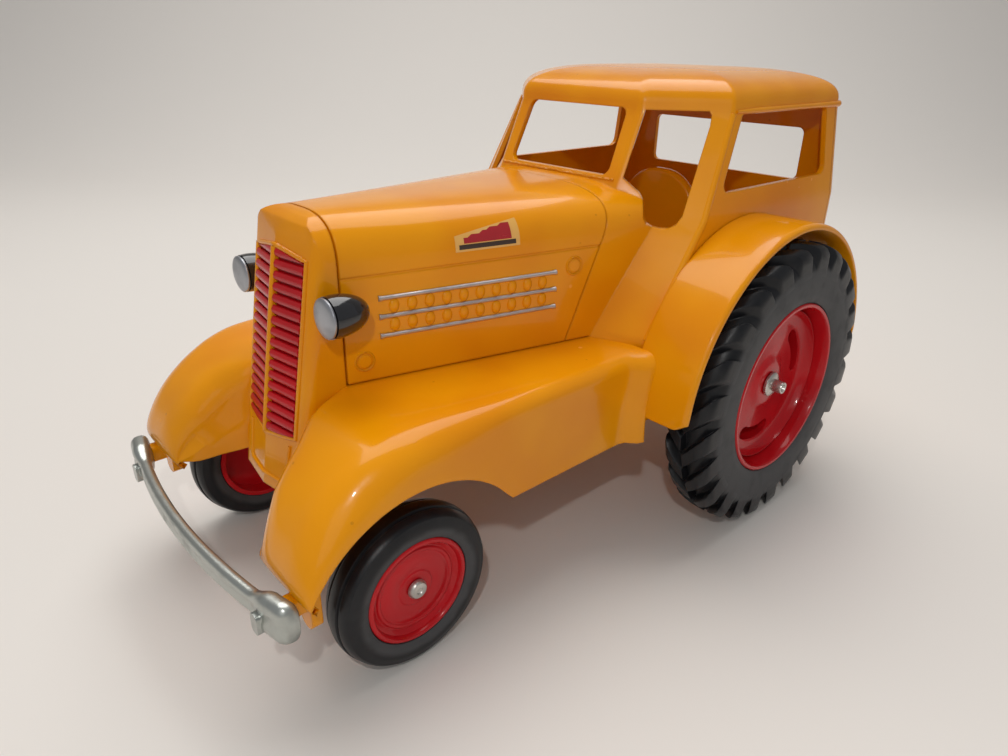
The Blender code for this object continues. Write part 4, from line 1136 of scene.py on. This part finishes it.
def build_rear_fenders():
    outer, inner = REAR_FENDER_RADIUS, REAR_FENDER_RADIUS - REAR_FENDER_WALL
    corner, roll, drop = REAR_FENDER_CORNER, REAR_FENDER_ROLL, REAR_FENDER_DROP
    start = math.pi - math.asin(REAR_FENDER_FOOT / outer)
    end = math.asin(REAR_FENDER_HEEL / outer)
    near, rings = REAR_FENDER_X[0], []
    for k in range(REAR_FENDER_STEPS + 1):
        angle = start + (end - start) * k / REAR_FENDER_STEPS
        from_end = min(start - angle, angle - end) * outer
        bite = corner - math.sqrt(max(corner ** 2 - max(corner - from_end, 0.0) ** 2, 0.0))
        wide = REAR_FENDER_X[1] - bite
        section = [(near, outer)]
        for j in range(1, 5):
            section.append((near + (wide - roll - near) * j / 4, outer))
        for a in quarter_turn(6):
            section.append((wide - roll + roll * math.sin(a), outer - drop + drop * math.cos(a)))
        section += [(wide, inner + 0.0002), (wide - 0.0003, inner), (near, inner)]
        rings.append([
            Vector((x, REAR_AXLE.x + r * math.cos(angle), REAR_AXLE.y + r * math.sin(angle)))
            for x, r in section
        ])
    fender = loft("rear_fender", rings)
    add_pair("rear_fender_casting_{}", fender, "yellow_enamel", "rear_fender_{}", "yellow_enamel")


# Wheels


def lug_mesh(wheels, half, tyre_radius):
    """One lug of the left half of a rear tyre, about the origin."""
    stations = [
        (0.0002, 0.0, 0.0, 0.0040), (0.0020, 0.042, 0.0, 0.0040), (0.0038, 0.088, 0.0002, 0.0045),
        (0.0054, 0.128, 0.0006, 0.0058),
        (0.0064, 0.152, 0.0013, 0.0070), (0.0071, 0.168, 0.0026, 0.0080),
        (half - 0.0002, 0.178, 0.0048, 0.0090), (half - 0.0001, 0.184, 0.0078, 0.0094),
    ]
    rings = []
    for x, sweep, drop, root in stations:
        top = tyre_radius - drop
        base = tyre_radius - root
        grow = 1.0 + 0.35 * x / half
        ring = []
        for side, radius, width in (
            (-1, base, 1.35), (-1, top - 0.0004, 1.04), (-0.86, top, 1.0), (0.86, top, 1.0),
            (1, top - 0.0004, 1.04), (1, base, 1.35),
        ):
            turn = math.pi / 2 - sweep - side * width * grow * wheels.lug_width / 2 / tyre_radius
            ring.append(Vector((x, radius * math.cos(turn), radius * math.sin(turn))))
        rings.append(ring)
    return loft("lug", rings)


def closed_profile(side):
    """A half section down to the middle line, its mirror image and the first point again."""
    whole = side + [(r, -x) for r, x in reversed(side[:-1])]
    return whole + [whole[0]]


def rear_tyre_profile(wheels, half, outer, rim):
    floor = outer - wheels.carcass
    bead = ((0.0, 0.86), (0.0010, 0.93), (0.0030, 0.975), (0.0060, 0.99), (0.0098, 0.985))
    shoulder = ((0.0046, 0.955), (0.0034, 0.90), (0.0018, 0.78), (0.0006, 0.56), (0.0001, 0.30), (0.0, 0.0))
    side = [(rim + up, half * wide) for up, wide in bead]
    return closed_profile(side + [(floor - down, half * wide) for down, wide in shoulder])


def front_tyre_profile(half, outer, rim):
    bead = ((0.0, 0.84), (0.0008, 0.94), (0.0024, 1.0), (0.0040, 0.985))
    tread = (
        (0.0022, 0.90), (0.0017, 0.885), (0.0012, 0.80), (0.0007, 0.62), (0.0005, 0.46), (0.0009, 0.42),
        (0.0009, 0.34), (0.0002, 0.30), (0.0, 0.12), (0.0, 0.0),
    )
    side = [(rim + up, half * wide) for up, wide in bead]
    return closed_profile(side + [(outer - down, half * wide) for down, wide in tread])


def rear_rim_profile(half, radius, hub_face, bore):
    web = hub_face - 0.0016
    edge = (
        (0.0, 0.0004), (0.0004, 0.0), (0.0012, 0.0001), (0.0016, 0.0008), (0.0018, 0.0030),
        (0.0026, 0.0060),
    )
    dish = ((0.0034, 0.0034), (0.0040, 0.0013), (0.0050, 0.0003))
    hub = [
        (radius * 0.70, web), (0.0098, web + 0.0002), (0.0084, web + 0.0008), (0.0072, hub_face - 0.0002),
    ]
    rear = [(0.0060, web - 0.0060), (radius - 0.0044, web - 0.0060), (radius - 0.0012, web - 0.0064)]
    points = [(radius - inward, half - down) for inward, down in edge]
    points += [(radius - inward, web + up) for inward, up in dish]
    points += hub + [(0.0064, hub_face), (bore, hub_face), (bore, web - 0.0062)] + rear
    points += [(radius - 0.0012, -half), (radius, -half)]
    return points + [points[0]]


def front_rim_profile(half, radius, hub_face, bore):
    edge = ((0.0, 0.0003), (0.0004, 0.0), (0.0011, 0.0), (0.0014, 0.0004))
    face = (
        (0.0016, 0.0006), (0.0022, 0.0002), (0.0027, -0.0003), (0.0030, -0.0003), (0.0034, 0.0001),
        (0.0040, 0.0001), (0.0043, -0.0002), (0.0047, -0.0002), (0.0050, 0.0),
    )
    hub = (
        (0.0062, 0.0), (0.0058, -0.0002), (0.0050, -0.0002), (0.0046, 0.0001), (bore, 0.0), (bore, -0.0026),
    )
    points = [(radius - inward, half - down) for inward, down in edge]
    points += [(radius - inward, hub_face + up) for inward, up in face]
    points += [(r, hub_face + up) for r, up in hub]
    points += [(radius - 0.0014, hub_face - 0.0026), (radius - 0.0014, -half), (radius, -half)]
    return points + [points[0]]


def kidney(name, inner, outer, spread, depth):
    """A curved slot of a disc, centred on +Z about the origin."""
    steps, ends = 14, 8
    radius, middle = (outer - inner) / 2, (outer + inner) / 2
    outline = []
    for side, reach in ((1, outer), (-1, inner)):
        for k in range(steps + 1):
            a = math.pi / 2 - side * spread + side * 2 * spread * k / steps
            outline.append((reach * math.cos(a), reach * math.sin(a)))
        last = math.pi / 2 + side * spread
        centre = Vector((math.cos(last), math.sin(last))) * middle
        for k in range(1, ends):
            turn = last + math.pi * k / ends + (0 if side > 0 else math.pi)
            outline.append(centre + Vector((math.cos(turn), math.sin(turn))) * radius)
    return prism(name, outline, "X", *depth)


def add_wheel_part(end, name, node, mesh, finish, slot, degrees):
    """A tyre or a disc drawn about the origin, on both wheels of one axle."""
    mesh.transform(Matrix.Translation(REAR_WHEEL if end == "rear" else FRONT_WHEEL))
    both = f"{end}_{{}}_"
    add_pair(
        both + name, mesh, finish, both + node, slot, both + "wheel", degrees=degrees, placed=True)


ORIGIN = Vector((0, 0, 0))
WHEEL_STEPS = 96
SLOT_TURN = -66
SLOT_RADII, SLOT_SPREAD = (0.0158, 0.0202), 0.36
PIN_PROUD = 0.0033


def wheel_measures(end):
    """Half the width of a tyre, its radius and the radius of its rim."""
    low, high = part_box(f"{end}_left_tyre")
    rim_low, rim_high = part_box(f"{end}_left_rim")
    return (high.x - low.x) / 2, (high.z - low.z) / 2, (rim_high.z - rim_low.z) / 2


def build_rear_wheels(wheels):
    half, outer, rim = wheel_measures("rear")
    turn = 2 * math.pi / wheels.lugs
    carcass = turned("tyre", rear_tyre_profile(wheels, half, outer, rim + 0.0002), WHEEL_STEPS, ORIGIN)
    near = repeated("lugs", lug_mesh(wheels, half, outer), "tyre", wheels.lugs, turn=(turn, 0, 0))
    far = mirrored("lugs", near)
    far.transform(Matrix.Rotation(turn / 2, 4, "X"))
    add_wheel_part("rear", "tread_tyre", "tyre", joined("tyre", [carcass, near, far]), "tyre", "tyre", 40)
    disc = turned("rim", rear_rim_profile(half - 0.0007, rim, 0.0008, 0.0024), WHEEL_STEPS, ORIGIN)
    slot = kidney("slot", *SLOT_RADII, SLOT_SPREAD, (-0.0056, 0.01))
    slot.transform(Matrix.Rotation(math.radians(SLOT_TURN), 4, "X"))
    slots = repeated("slots", slot, "red_enamel", wheels.slots, turn=(2 * math.pi / wheels.slots, 0, 0))
    disc = carved("rim", disc, [("DIFFERENCE", slots)])
    add_wheel_part("rear", "wheel_disc", "rim", disc, "red_enamel", "red_enamel", 40)


def build_front_wheels():
    half, outer, rim = wheel_measures("front")
    tyre = turned("tyre", front_tyre_profile(half, outer, rim + 0.0002), WHEEL_STEPS, ORIGIN)
    add_wheel_part("front", "ribbed_tyre", "tyre", tyre, "front_tyre", "tyre", 30)
    disc = turned("rim", front_rim_profile(half - 0.0007, rim, 0.0030, 0.0019), WHEEL_STEPS, ORIGIN)
    add_wheel_part("front", "wheel_disc", "rim", disc, "red_enamel", "red_enamel", 35)


def build_axles():
    for name, axle_y, node, radius, washer, thick, stub in (
        ("rear_axle_pin", REAR_WHEEL, "rear_axle", 0.0020, 0.0040, 0.0010, 0.0036),
        ("front_axle_pin", FRONT_WHEEL, "front_axle", 0.0015, 0.0026, 0.0015, 0.0),
    ):
        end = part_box(node)[1].x + (PIN_PROUD if stub else 0.0)
        start = end - stub - thick
        if stub:
            tip = [
                (0.0, end - 0.0010), (radius * 0.45, end - 0.0009), (radius * 0.62, end - 0.0001),
                (radius * 0.9, end), (radius, end - 0.0004), (radius * 0.98, end - stub + 0.0002),
            ]
            head = [
                (washer - 0.0004, end - stub), (washer, end - stub - 0.0003), (washer, start),
                (radius, start),
            ]
        else:
            tip = [(0.0, end - 0.0004), (0.0007, end - 0.0003), (0.0009, end)]
            head = [
                (washer * 0.80, end - 0.0002), (washer * 0.97, end - 0.0007), (washer, start + 0.0002),
                (washer, start), (radius, start),
            ]
        half = tip + head
        profile = half + [(r, -x) for r, x in reversed(half)]
        centre = Vector((0, axle_y.y, axle_y.z))
        pin = turned(name, profile, 40, centre)
        add_piece(name, pin, "axle_steel", replaces=[node], slot="axle_steel", placed=True)


# Lamps, bumper and cab inside


LAMP_TRIM = 0.0026
LAMP_STEPS = 20
LENS_SHARE = 0.94


def build_headlights():
    low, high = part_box("headlight_left")
    lens_low, lens_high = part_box("headlight_lens_left")
    radius, long = (high.x - low.x) / 2, high.y - low.y
    centre = Vector(((low.x + high.x) / 2, high.y, (low.z + high.z) / 2))
    forward = Vector((0, -1, 0))
    profile = [(0.0, LAMP_TRIM)]
    for a in quarter_turn(LAMP_STEPS):
        out = LAMP_TRIM + (long * 0.86 - LAMP_TRIM) * (1 - math.cos(a))
        profile.append((radius * math.sin(a) ** 0.92, out))
    profile += [(radius * 0.995, long * 0.92), (radius * 0.975, long), (0.0, long)]
    pod = turned("pod", profile, 56, centre, forward)
    add_pair("headlight_pod_{}", pod, "lamp_body", "headlight_{}", "lamp_body", placed=True)
    front, back = high.y - lens_low.y, high.y - lens_high.y
    lens = [(0.0, back), (radius * LENS_SHARE, back), (radius * 0.95, back + 0.0004)]
    for a in quarter_turn(8):
        lens.append(
            (radius * LENS_SHARE * math.cos(a), back + 0.0004 + (front - back - 0.0004) * math.sin(a))
        )
    glass = turned("lens", lens, 56, centre, forward)
    add_pair("headlight_face_{}", glass, "lens", "headlight_lens_{}", "lens", placed=True)


BUMPER_HALF, BUMPER_FRONT_Y, BUMPER_BOW, BUMPER_Z = 0.0480, -0.1086, 0.0054, 0.0320
BUMPER_STEPS, BUMPER_SIDES = 96, 28
BUMPER_TALL = [(0.0, 0.0040), (0.0016, 0.0053), (0.0068, 0.0052), (0.0130, 0.0029), (0.0300, 0.0030)]
BUMPER_DEEP = [(0.0, 0.0018), (0.0016, 0.0028), (0.0068, 0.0028), (0.0130, 0.0017), (BUMPER_HALF, 0.0016)]


def build_bumper():
    rings = []
    for i in range(BUMPER_STEPS + 1):
        x = BUMPER_HALF * (2 * i / BUMPER_STEPS - 1)
        from_end = BUMPER_HALF - abs(x)
        half = eased(from_end, BUMPER_TALL)
        deep = eased(from_end, BUMPER_DEEP)
        y = BUMPER_FRONT_Y + BUMPER_BOW * (x / BUMPER_HALF) ** 2
        ring = []
        for a in full_turn(BUMPER_SIDES):
            u = math.copysign(abs(math.cos(a)) ** 0.75, math.cos(a))
            v = math.copysign(abs(math.sin(a)) ** 0.70, math.sin(a))
            if u < 0:
                u *= 1.0 - 0.32 * math.exp(-(v / 0.35) ** 2)
            ring.append((x, y + deep * u, BUMPER_Z + half * v))
        rings.append(ring)
    lugs = []
    for side, _ in SIDES:
        middle = side * 0.0392
        plan = rounded_box((middle - 0.0016, middle + 0.0016), (0.0268, 0.0322), [0.0012] * 4, 4)
        lugs.append(prism("lug", plan, "Y", -0.1080, -0.1046))
    bar = joined("bumper_bar", [loft("bumper_bar", rings), *lugs])
    add_piece("bumper_bar", bar, "bumper", replaces=["bumper"], slot="bumper", degrees=60)
    # A tongue hangs from each fender's tip, and a short arm joins it to the bumper.
    tongue = rounded_box((0.0398, 0.0450), (0.0245, 0.0400), [0.0022, 0.0022, 0, 0], 5)
    arm = rounded_box((0.0405, 0.0445), (0.0300, 0.0350), [0.001] * 4, 3)
    tab = joined(
        "tab", [prism("tongue", tongue, "Y", -0.0975, -0.0948), prism("arm", arm, "Y", -0.1020, -0.0972)],
    )
    add_pair("bumper_tab_{}", tab, "yellow_enamel", "bumper_bracket_{}", "yellow_enamel")


SEAT_FOOT_Z, SEAT_HALF, SEAT_ARC_Z, CUSHION_TOP_Z = 0.0643, 0.0165, 0.0870, 0.0808
STEERING_CENTRE, STEERING_RADIUS, STEERING_BAR = Vector((0.0, 0.0440, 0.0930)), 0.0130, 0.0011


def build_seat():
    base, width = SEAT_FOOT_Z, SEAT_HALF
    outline = [(width * 0.93, base)]
    for k in range(25):
        a = math.pi * k / 24
        outline.append(
            (width * math.copysign(abs(math.cos(a)) ** 0.9, math.cos(a)), SEAT_ARC_Z + width * math.sin(a))
        )
    outline.append((-width * 0.93, base))
    back = prism("seat_back", outline, "Y", 0.0740, 0.0783)
    soft = {"segments": 4, "limit_method": "ANGLE", "angle_limit": math.radians(50)}
    back = with_modifier("seat_back", back, "BEVEL", width=0.0014, **soft)
    plan = rounded_box((-width, width), (0.0500, 0.0760), [0.006, 0.006, 0.001, 0.001])
    cushion = with_modifier(
        "cushion", prism("cushion", plan, "Z", base, CUSHION_TOP_Z), "BEVEL", width=0.0018, **soft,
    )
    add_casting("seat_casting", joined("seat", [back, cushion]), ["seat"])


def build_steering():
    centre = STEERING_CENTRE
    tilt = Matrix.Rotation(math.radians(-45), 3, "X")
    ring = [
        (STEERING_RADIUS + STEERING_BAR * math.cos(a), STEERING_BAR * math.sin(a))
        for a in full_turn(12)
    ]
    axis = tilt @ Vector((0, 0, 1))
    wheel = turned("wheel", ring + [ring[0]], 56, centre, axis)
    hub = turned(
        "hub", [(0, -0.0012), (0.0026, -0.0012), (0.0026, 0.0006), (0.0018, 0.0013), (0, 0.0015)], 32,
        centre, axis,
    )
    spokes = []
    for angle in (90, 210, 330):
        along = tilt @ Vector((math.cos(math.radians(angle)), math.sin(math.radians(angle)), 0))
        path = [centre + along * (0.0126 * k / 6) for k in range(7)]
        spokes.append(
            tube(
                "spoke", path, [0.0009, 0.0008, 0.0007, 0.0007, 0.0007, 0.0008, 0.0009], sides=10,
                across=axis,
            )
        )
    add_casting("steering_ring", joined("steering", [wheel, hub, *spokes]), ["steering_wheel"])


# Trim on the hood side


def side_point(y, z, proud=0.0):
    out = Vector((1.0, -HOOD_FLARE, 0.0)).normalized()
    return Vector((hood_half(y), y, z)) + out * proud


STRIP_ROWS = (0.0870, 0.0822, 0.0772)
STRIP_Y = (-0.0590, -0.0090)
BOSSES = (((-0.0633, 0.0712), 0.0027), ((-0.0031, 0.0880), 0.0028))


def build_strips(trim):
    tubes = []
    for z in STRIP_ROWS:
        path, radii = [], []
        for k in range(41):
            y = STRIP_Y[0] + (STRIP_Y[1] - STRIP_Y[0]) * k / 40
            end = min(k, 40 - k)
            path.append(side_point(y, z, 0.0002))
            radii.append(trim.strip * (1.35 if end < 1 else 1.0))
        tubes.append(tube("strip", path, radii, sides=10))
    add_pair("side_strips_{}", joined("strips", tubes), "strip")


def build_vents(trim):
    bm = bmesh.new()
    bmesh.ops.create_uvsphere(bm, u_segments=18, v_segments=10, radius=1.0)
    bmesh.ops.transform(bm, matrix=Matrix.Diagonal((0.0010, 0.0015, 0.0019, 1.0)), verts=bm.verts)
    bump = finished(bm, "vent")
    rows = []
    pitch = (STRIP_Y[1] - STRIP_Y[0] - 0.0080) / (trim.vents - 1)
    for z in ((STRIP_ROWS[0] + STRIP_ROWS[1]) / 2, (STRIP_ROWS[1] + STRIP_ROWS[2]) / 2):
        rows.append(repeated(
            "vents", bump, "yellow_enamel", trim.vents,
            place=side_point(STRIP_Y[0] + 0.0040, z, -0.0002), step=(HOOD_FLARE * pitch, pitch, 0)))
    add_pair("side_vents_{}", joined("vents", rows), "yellow_enamel", slot="yellow_enamel")


def build_bosses():
    out = Vector((1.0, -HOOD_FLARE, 0.0)).normalized()
    parts = []
    for (y, z), radius in BOSSES:
        profile = [
            (0.0, 0.0004), (radius * 0.62, 0.0004), (radius * 0.70, 0.0001), (radius * 0.78, 0.00005),
            (radius * 0.84, 0.0004),
            (radius * 0.93, 0.00045), (radius, 0.0001), (radius, -0.0008), (0.0, -0.0008),
        ]
        parts.append(turned("boss", profile, 40, side_point(y, z), out))
    add_pair("side_bosses_{}", joined("bosses", parts), "yellow_enamel", slot="yellow_enamel")


def crown_patch(name, rows, proud):
    """A thin label on the crown: rows of (y, lowest share, highest share)."""
    lower, upper = [], []
    for y, low, high in rows:
        shares = [low + (high - low) * k / 8 for k in range(9)]
        upper.append([crown_point(y, share, proud) for share in shares])
        lower.append([crown_point(y, share, proud - 0.00006) for share in shares])
    rings = [up + list(reversed(down)) for up, down in zip(upper, lower)]
    return loft(name, rings)


def build_decal():
    start, end = -0.0375, -0.0215

    def rows(from_y, to_y, low, high):
        return [(from_y + (to_y - from_y) * k / 12, low(k / 12), high(k / 12)) for k in range(13)]

    film = crown_patch(
        "film", rows(start - 0.0010, end + 0.0012, lambda t: 0.022, lambda t: 0.098 + 0.075 * t), 0.00008,
    )
    bar = crown_patch("bar", rows(start, end, lambda t: 0.030, lambda t: 0.050), 0.00014)
    wedge = crown_patch(
        "wedge",
        rows(start + 0.0014, end - 0.0012, lambda t: 0.055, lambda t: 0.084 + 0.016 * round(t * 4.4)),
        0.00014,
    )
    add_pair("decal_film_{}", film, "decal_film")
    add_pair("decal_bar_{}", bar, "decal_dark")
    add_pair("decal_wedge_{}", wedge, "decal_red")


# Stage


FLOOR_REACH, FLOOR_CURVE, FLOOR_HALF = 0.55, 0.50, 8.0
LIGHT_AIM = Vector((0.0, 0.0, 0.06))
CAMERA_PLACE = Vector((0.16073, -0.14777, 0.14358))
CAMERA_RIGHT, CAMERA_BACK = Vector((0.6696, 0.7426, 0.0171)), Vector((0.6679, -0.6120, 0.4236))


def build_stage(stage):
    scene = bpy.context.scene
    # The floor runs back and curves up behind the toy.
    away, across = Vector((-0.737, 0.676, 0.0)), Vector((0.676, 0.737, 0.0))
    profile = [(-4.0, 0.0), (FLOOR_REACH, 0.0)]
    for a in quarter_turn(24):
        profile.append((FLOOR_REACH + FLOOR_CURVE * math.sin(a), FLOOR_CURVE * (1 - math.cos(a))))
    profile.append((FLOOR_REACH + FLOOR_CURVE, 2.5))
    rings = [
        [away * out + across * side + Vector((0, 0, up)) for out, up in profile]
        for side in (-FLOOR_HALF, FLOOR_HALF)
    ]
    floor = linked("floor", loft("floor", rings, caps=False, closed=False))
    floor.data.shade_smooth()
    floor.data.materials.append(floor_finish(tuple(stage.floor)))
    world = bpy.data.worlds.new("studio")
    world.use_nodes = True
    sky = world.node_tree.nodes["Background"]
    sky.inputs["Color"].default_value = (0.95, 0.97, 1.0, 1.0)
    sky.inputs["Strength"].default_value = 0.30
    scene.world = world
    for name, place, size, power, colour in (
        ("overhead", (-0.25, 0.15, 0.95), 0.90, stage.overhead, (1.0, 0.985, 0.96)),
        ("front_fill", (0.70, -0.75, 0.55), 0.70, stage.overhead * 0.12, (1.0, 0.98, 0.95)),
        ("flash", (0.19, -0.20, 0.25), 0.009, stage.flash, (1.0, 0.985, 0.96)),
    ):
        light = bpy.data.lights.new(name, "AREA")
        light.size, light.energy, light.color = size, power, colour
        lamp = linked(name, light)
        lamp.location = place
        lamp.rotation_mode = "QUATERNION"
        aim = LIGHT_AIM - Vector(place)
        lamp.rotation_quaternion = aim.to_track_quat("-Z", "Y")
    camera = linked("camera", bpy.data.cameras.new("camera"))
    camera.data.lens = stage.focal_length
    camera.data.sensor_width = 36.0
    camera.data.clip_start, camera.data.clip_end = 0.01, 20.0
    right, back = CAMERA_RIGHT.normalized(), CAMERA_BACK.normalized()
    up = back.cross(right).normalized()
    right = up.cross(back)
    turn = Matrix((right, up, back)).transposed().to_4x4()
    camera.matrix_world = Matrix.Translation(CAMERA_PLACE + DATUM) @ turn
    scene.camera = camera
    scene.view_settings.view_transform = "Standard"


# Operators


class MakeFinishes(bpy.types.Operator):
    """Mix the paints, rubber and metals, and coat the frame's own castings"""

    bl_idname = "toy.make_finishes"
    bl_label = "Finishes"

    def execute(self, context):
        make_finishes(context.scene.toy_paint)
        return {"FINISHED"}


class MakeHood(bpy.types.Operator):
    """Build the hood, the nose and its grille"""

    bl_idname = "toy.make_hood"
    bl_label = "Hood and nose"

    def execute(self, context):
        build_hood()
        build_nose()
        build_grille(context.scene.toy_trim)
        return {"FINISHED"}


class MakeCab(bpy.types.Operator):
    """Build the cab, its roof and the cowl"""

    bl_idname = "toy.make_cab"
    bl_label = "Cab"

    def execute(self, context):
        build_cab()
        return {"FINISHED"}


class MakeFenders(bpy.types.Operator):
    """Build the front fenders with their running boards, and the rear fenders"""

    bl_idname = "toy.make_fenders"
    bl_label = "Fenders"

    def execute(self, context):
        build_front_fenders()
        build_rear_fenders()
        return {"FINISHED"}


class MakeWheels(bpy.types.Operator):
    """Build the tyres, the wheel discs and the axle pins"""

    bl_idname = "toy.make_wheels"
    bl_label = "Wheels"

    def execute(self, context):
        build_rear_wheels(context.scene.toy_wheels)
        build_front_wheels()
        build_axles()
        return {"FINISHED"}


class MakeFittings(bpy.types.Operator):
    """Build the headlights, the bumper, the seat and the steering wheel"""

    bl_idname = "toy.make_fittings"
    bl_label = "Fittings"

    def execute(self, context):
        build_headlights()
        build_bumper()
        build_seat()
        build_steering()
        return {"FINISHED"}


class MakeTrim(bpy.types.Operator):
    """Build the strips, vents, bosses and labels of the hood sides"""

    bl_idname = "toy.make_trim"
    bl_label = "Trim"

    def execute(self, context):
        trim = context.scene.toy_trim
        build_strips(trim)
        build_vents(trim)
        build_bosses()
        build_decal()
        return {"FINISHED"}


class MakeStage(bpy.types.Operator):
    """Lay the floor, hang the lights and place the camera"""

    bl_idname = "toy.make_stage"
    bl_label = "Stage"

    def execute(self, context):
        build_stage(context.scene.toy_stage)
        return {"FINISHED"}


STEPS = (MakeFinishes, MakeHood, MakeCab, MakeFenders, MakeWheels, MakeFittings, MakeTrim, MakeStage)
GROUPS = {"toy_paint": ToyPaint, "toy_wheels": ToyWheels, "toy_trim": ToyTrim, "toy_stage": ToyStage}


class ToyPanel(bpy.types.Panel):
    bl_idname = "VIEW3D_PT_toy_tractor"
    bl_label = "Toy tractor"
    bl_space_type = "VIEW_3D"
    bl_region_type = "UI"
    bl_category = "Toy tractor"

    def draw(self, context):
        for group, kind in GROUPS.items():
            for name in kind.__annotations__:
                self.layout.prop(getattr(context.scene, group), name)
        for step in STEPS:
            self.layout.operator(step.bl_idname)


def register():
    for kind in (*GROUPS.values(), *STEPS, ToyPanel):
        bpy.utils.register_class(kind)
    for name, kind in GROUPS.items():
        setattr(bpy.types.Scene, name, PointerProperty(type=kind))


def unregister():
    for name in GROUPS:
        delattr(bpy.types.Scene, name)
    for kind in reversed((*GROUPS.values(), *STEPS, ToyPanel)):
        bpy.utils.unregister_class(kind)


def main():
    register()
    bpy.ops.toy.make_finishes()
    bpy.ops.toy.make_hood()
    bpy.ops.toy.make_cab()
    bpy.ops.toy.make_fenders()
    bpy.ops.toy.make_wheels()
    bpy.ops.toy.make_fittings()
    bpy.ops.toy.make_trim()
    bpy.ops.toy.make_stage()


if __name__ == "__main__":
    main()
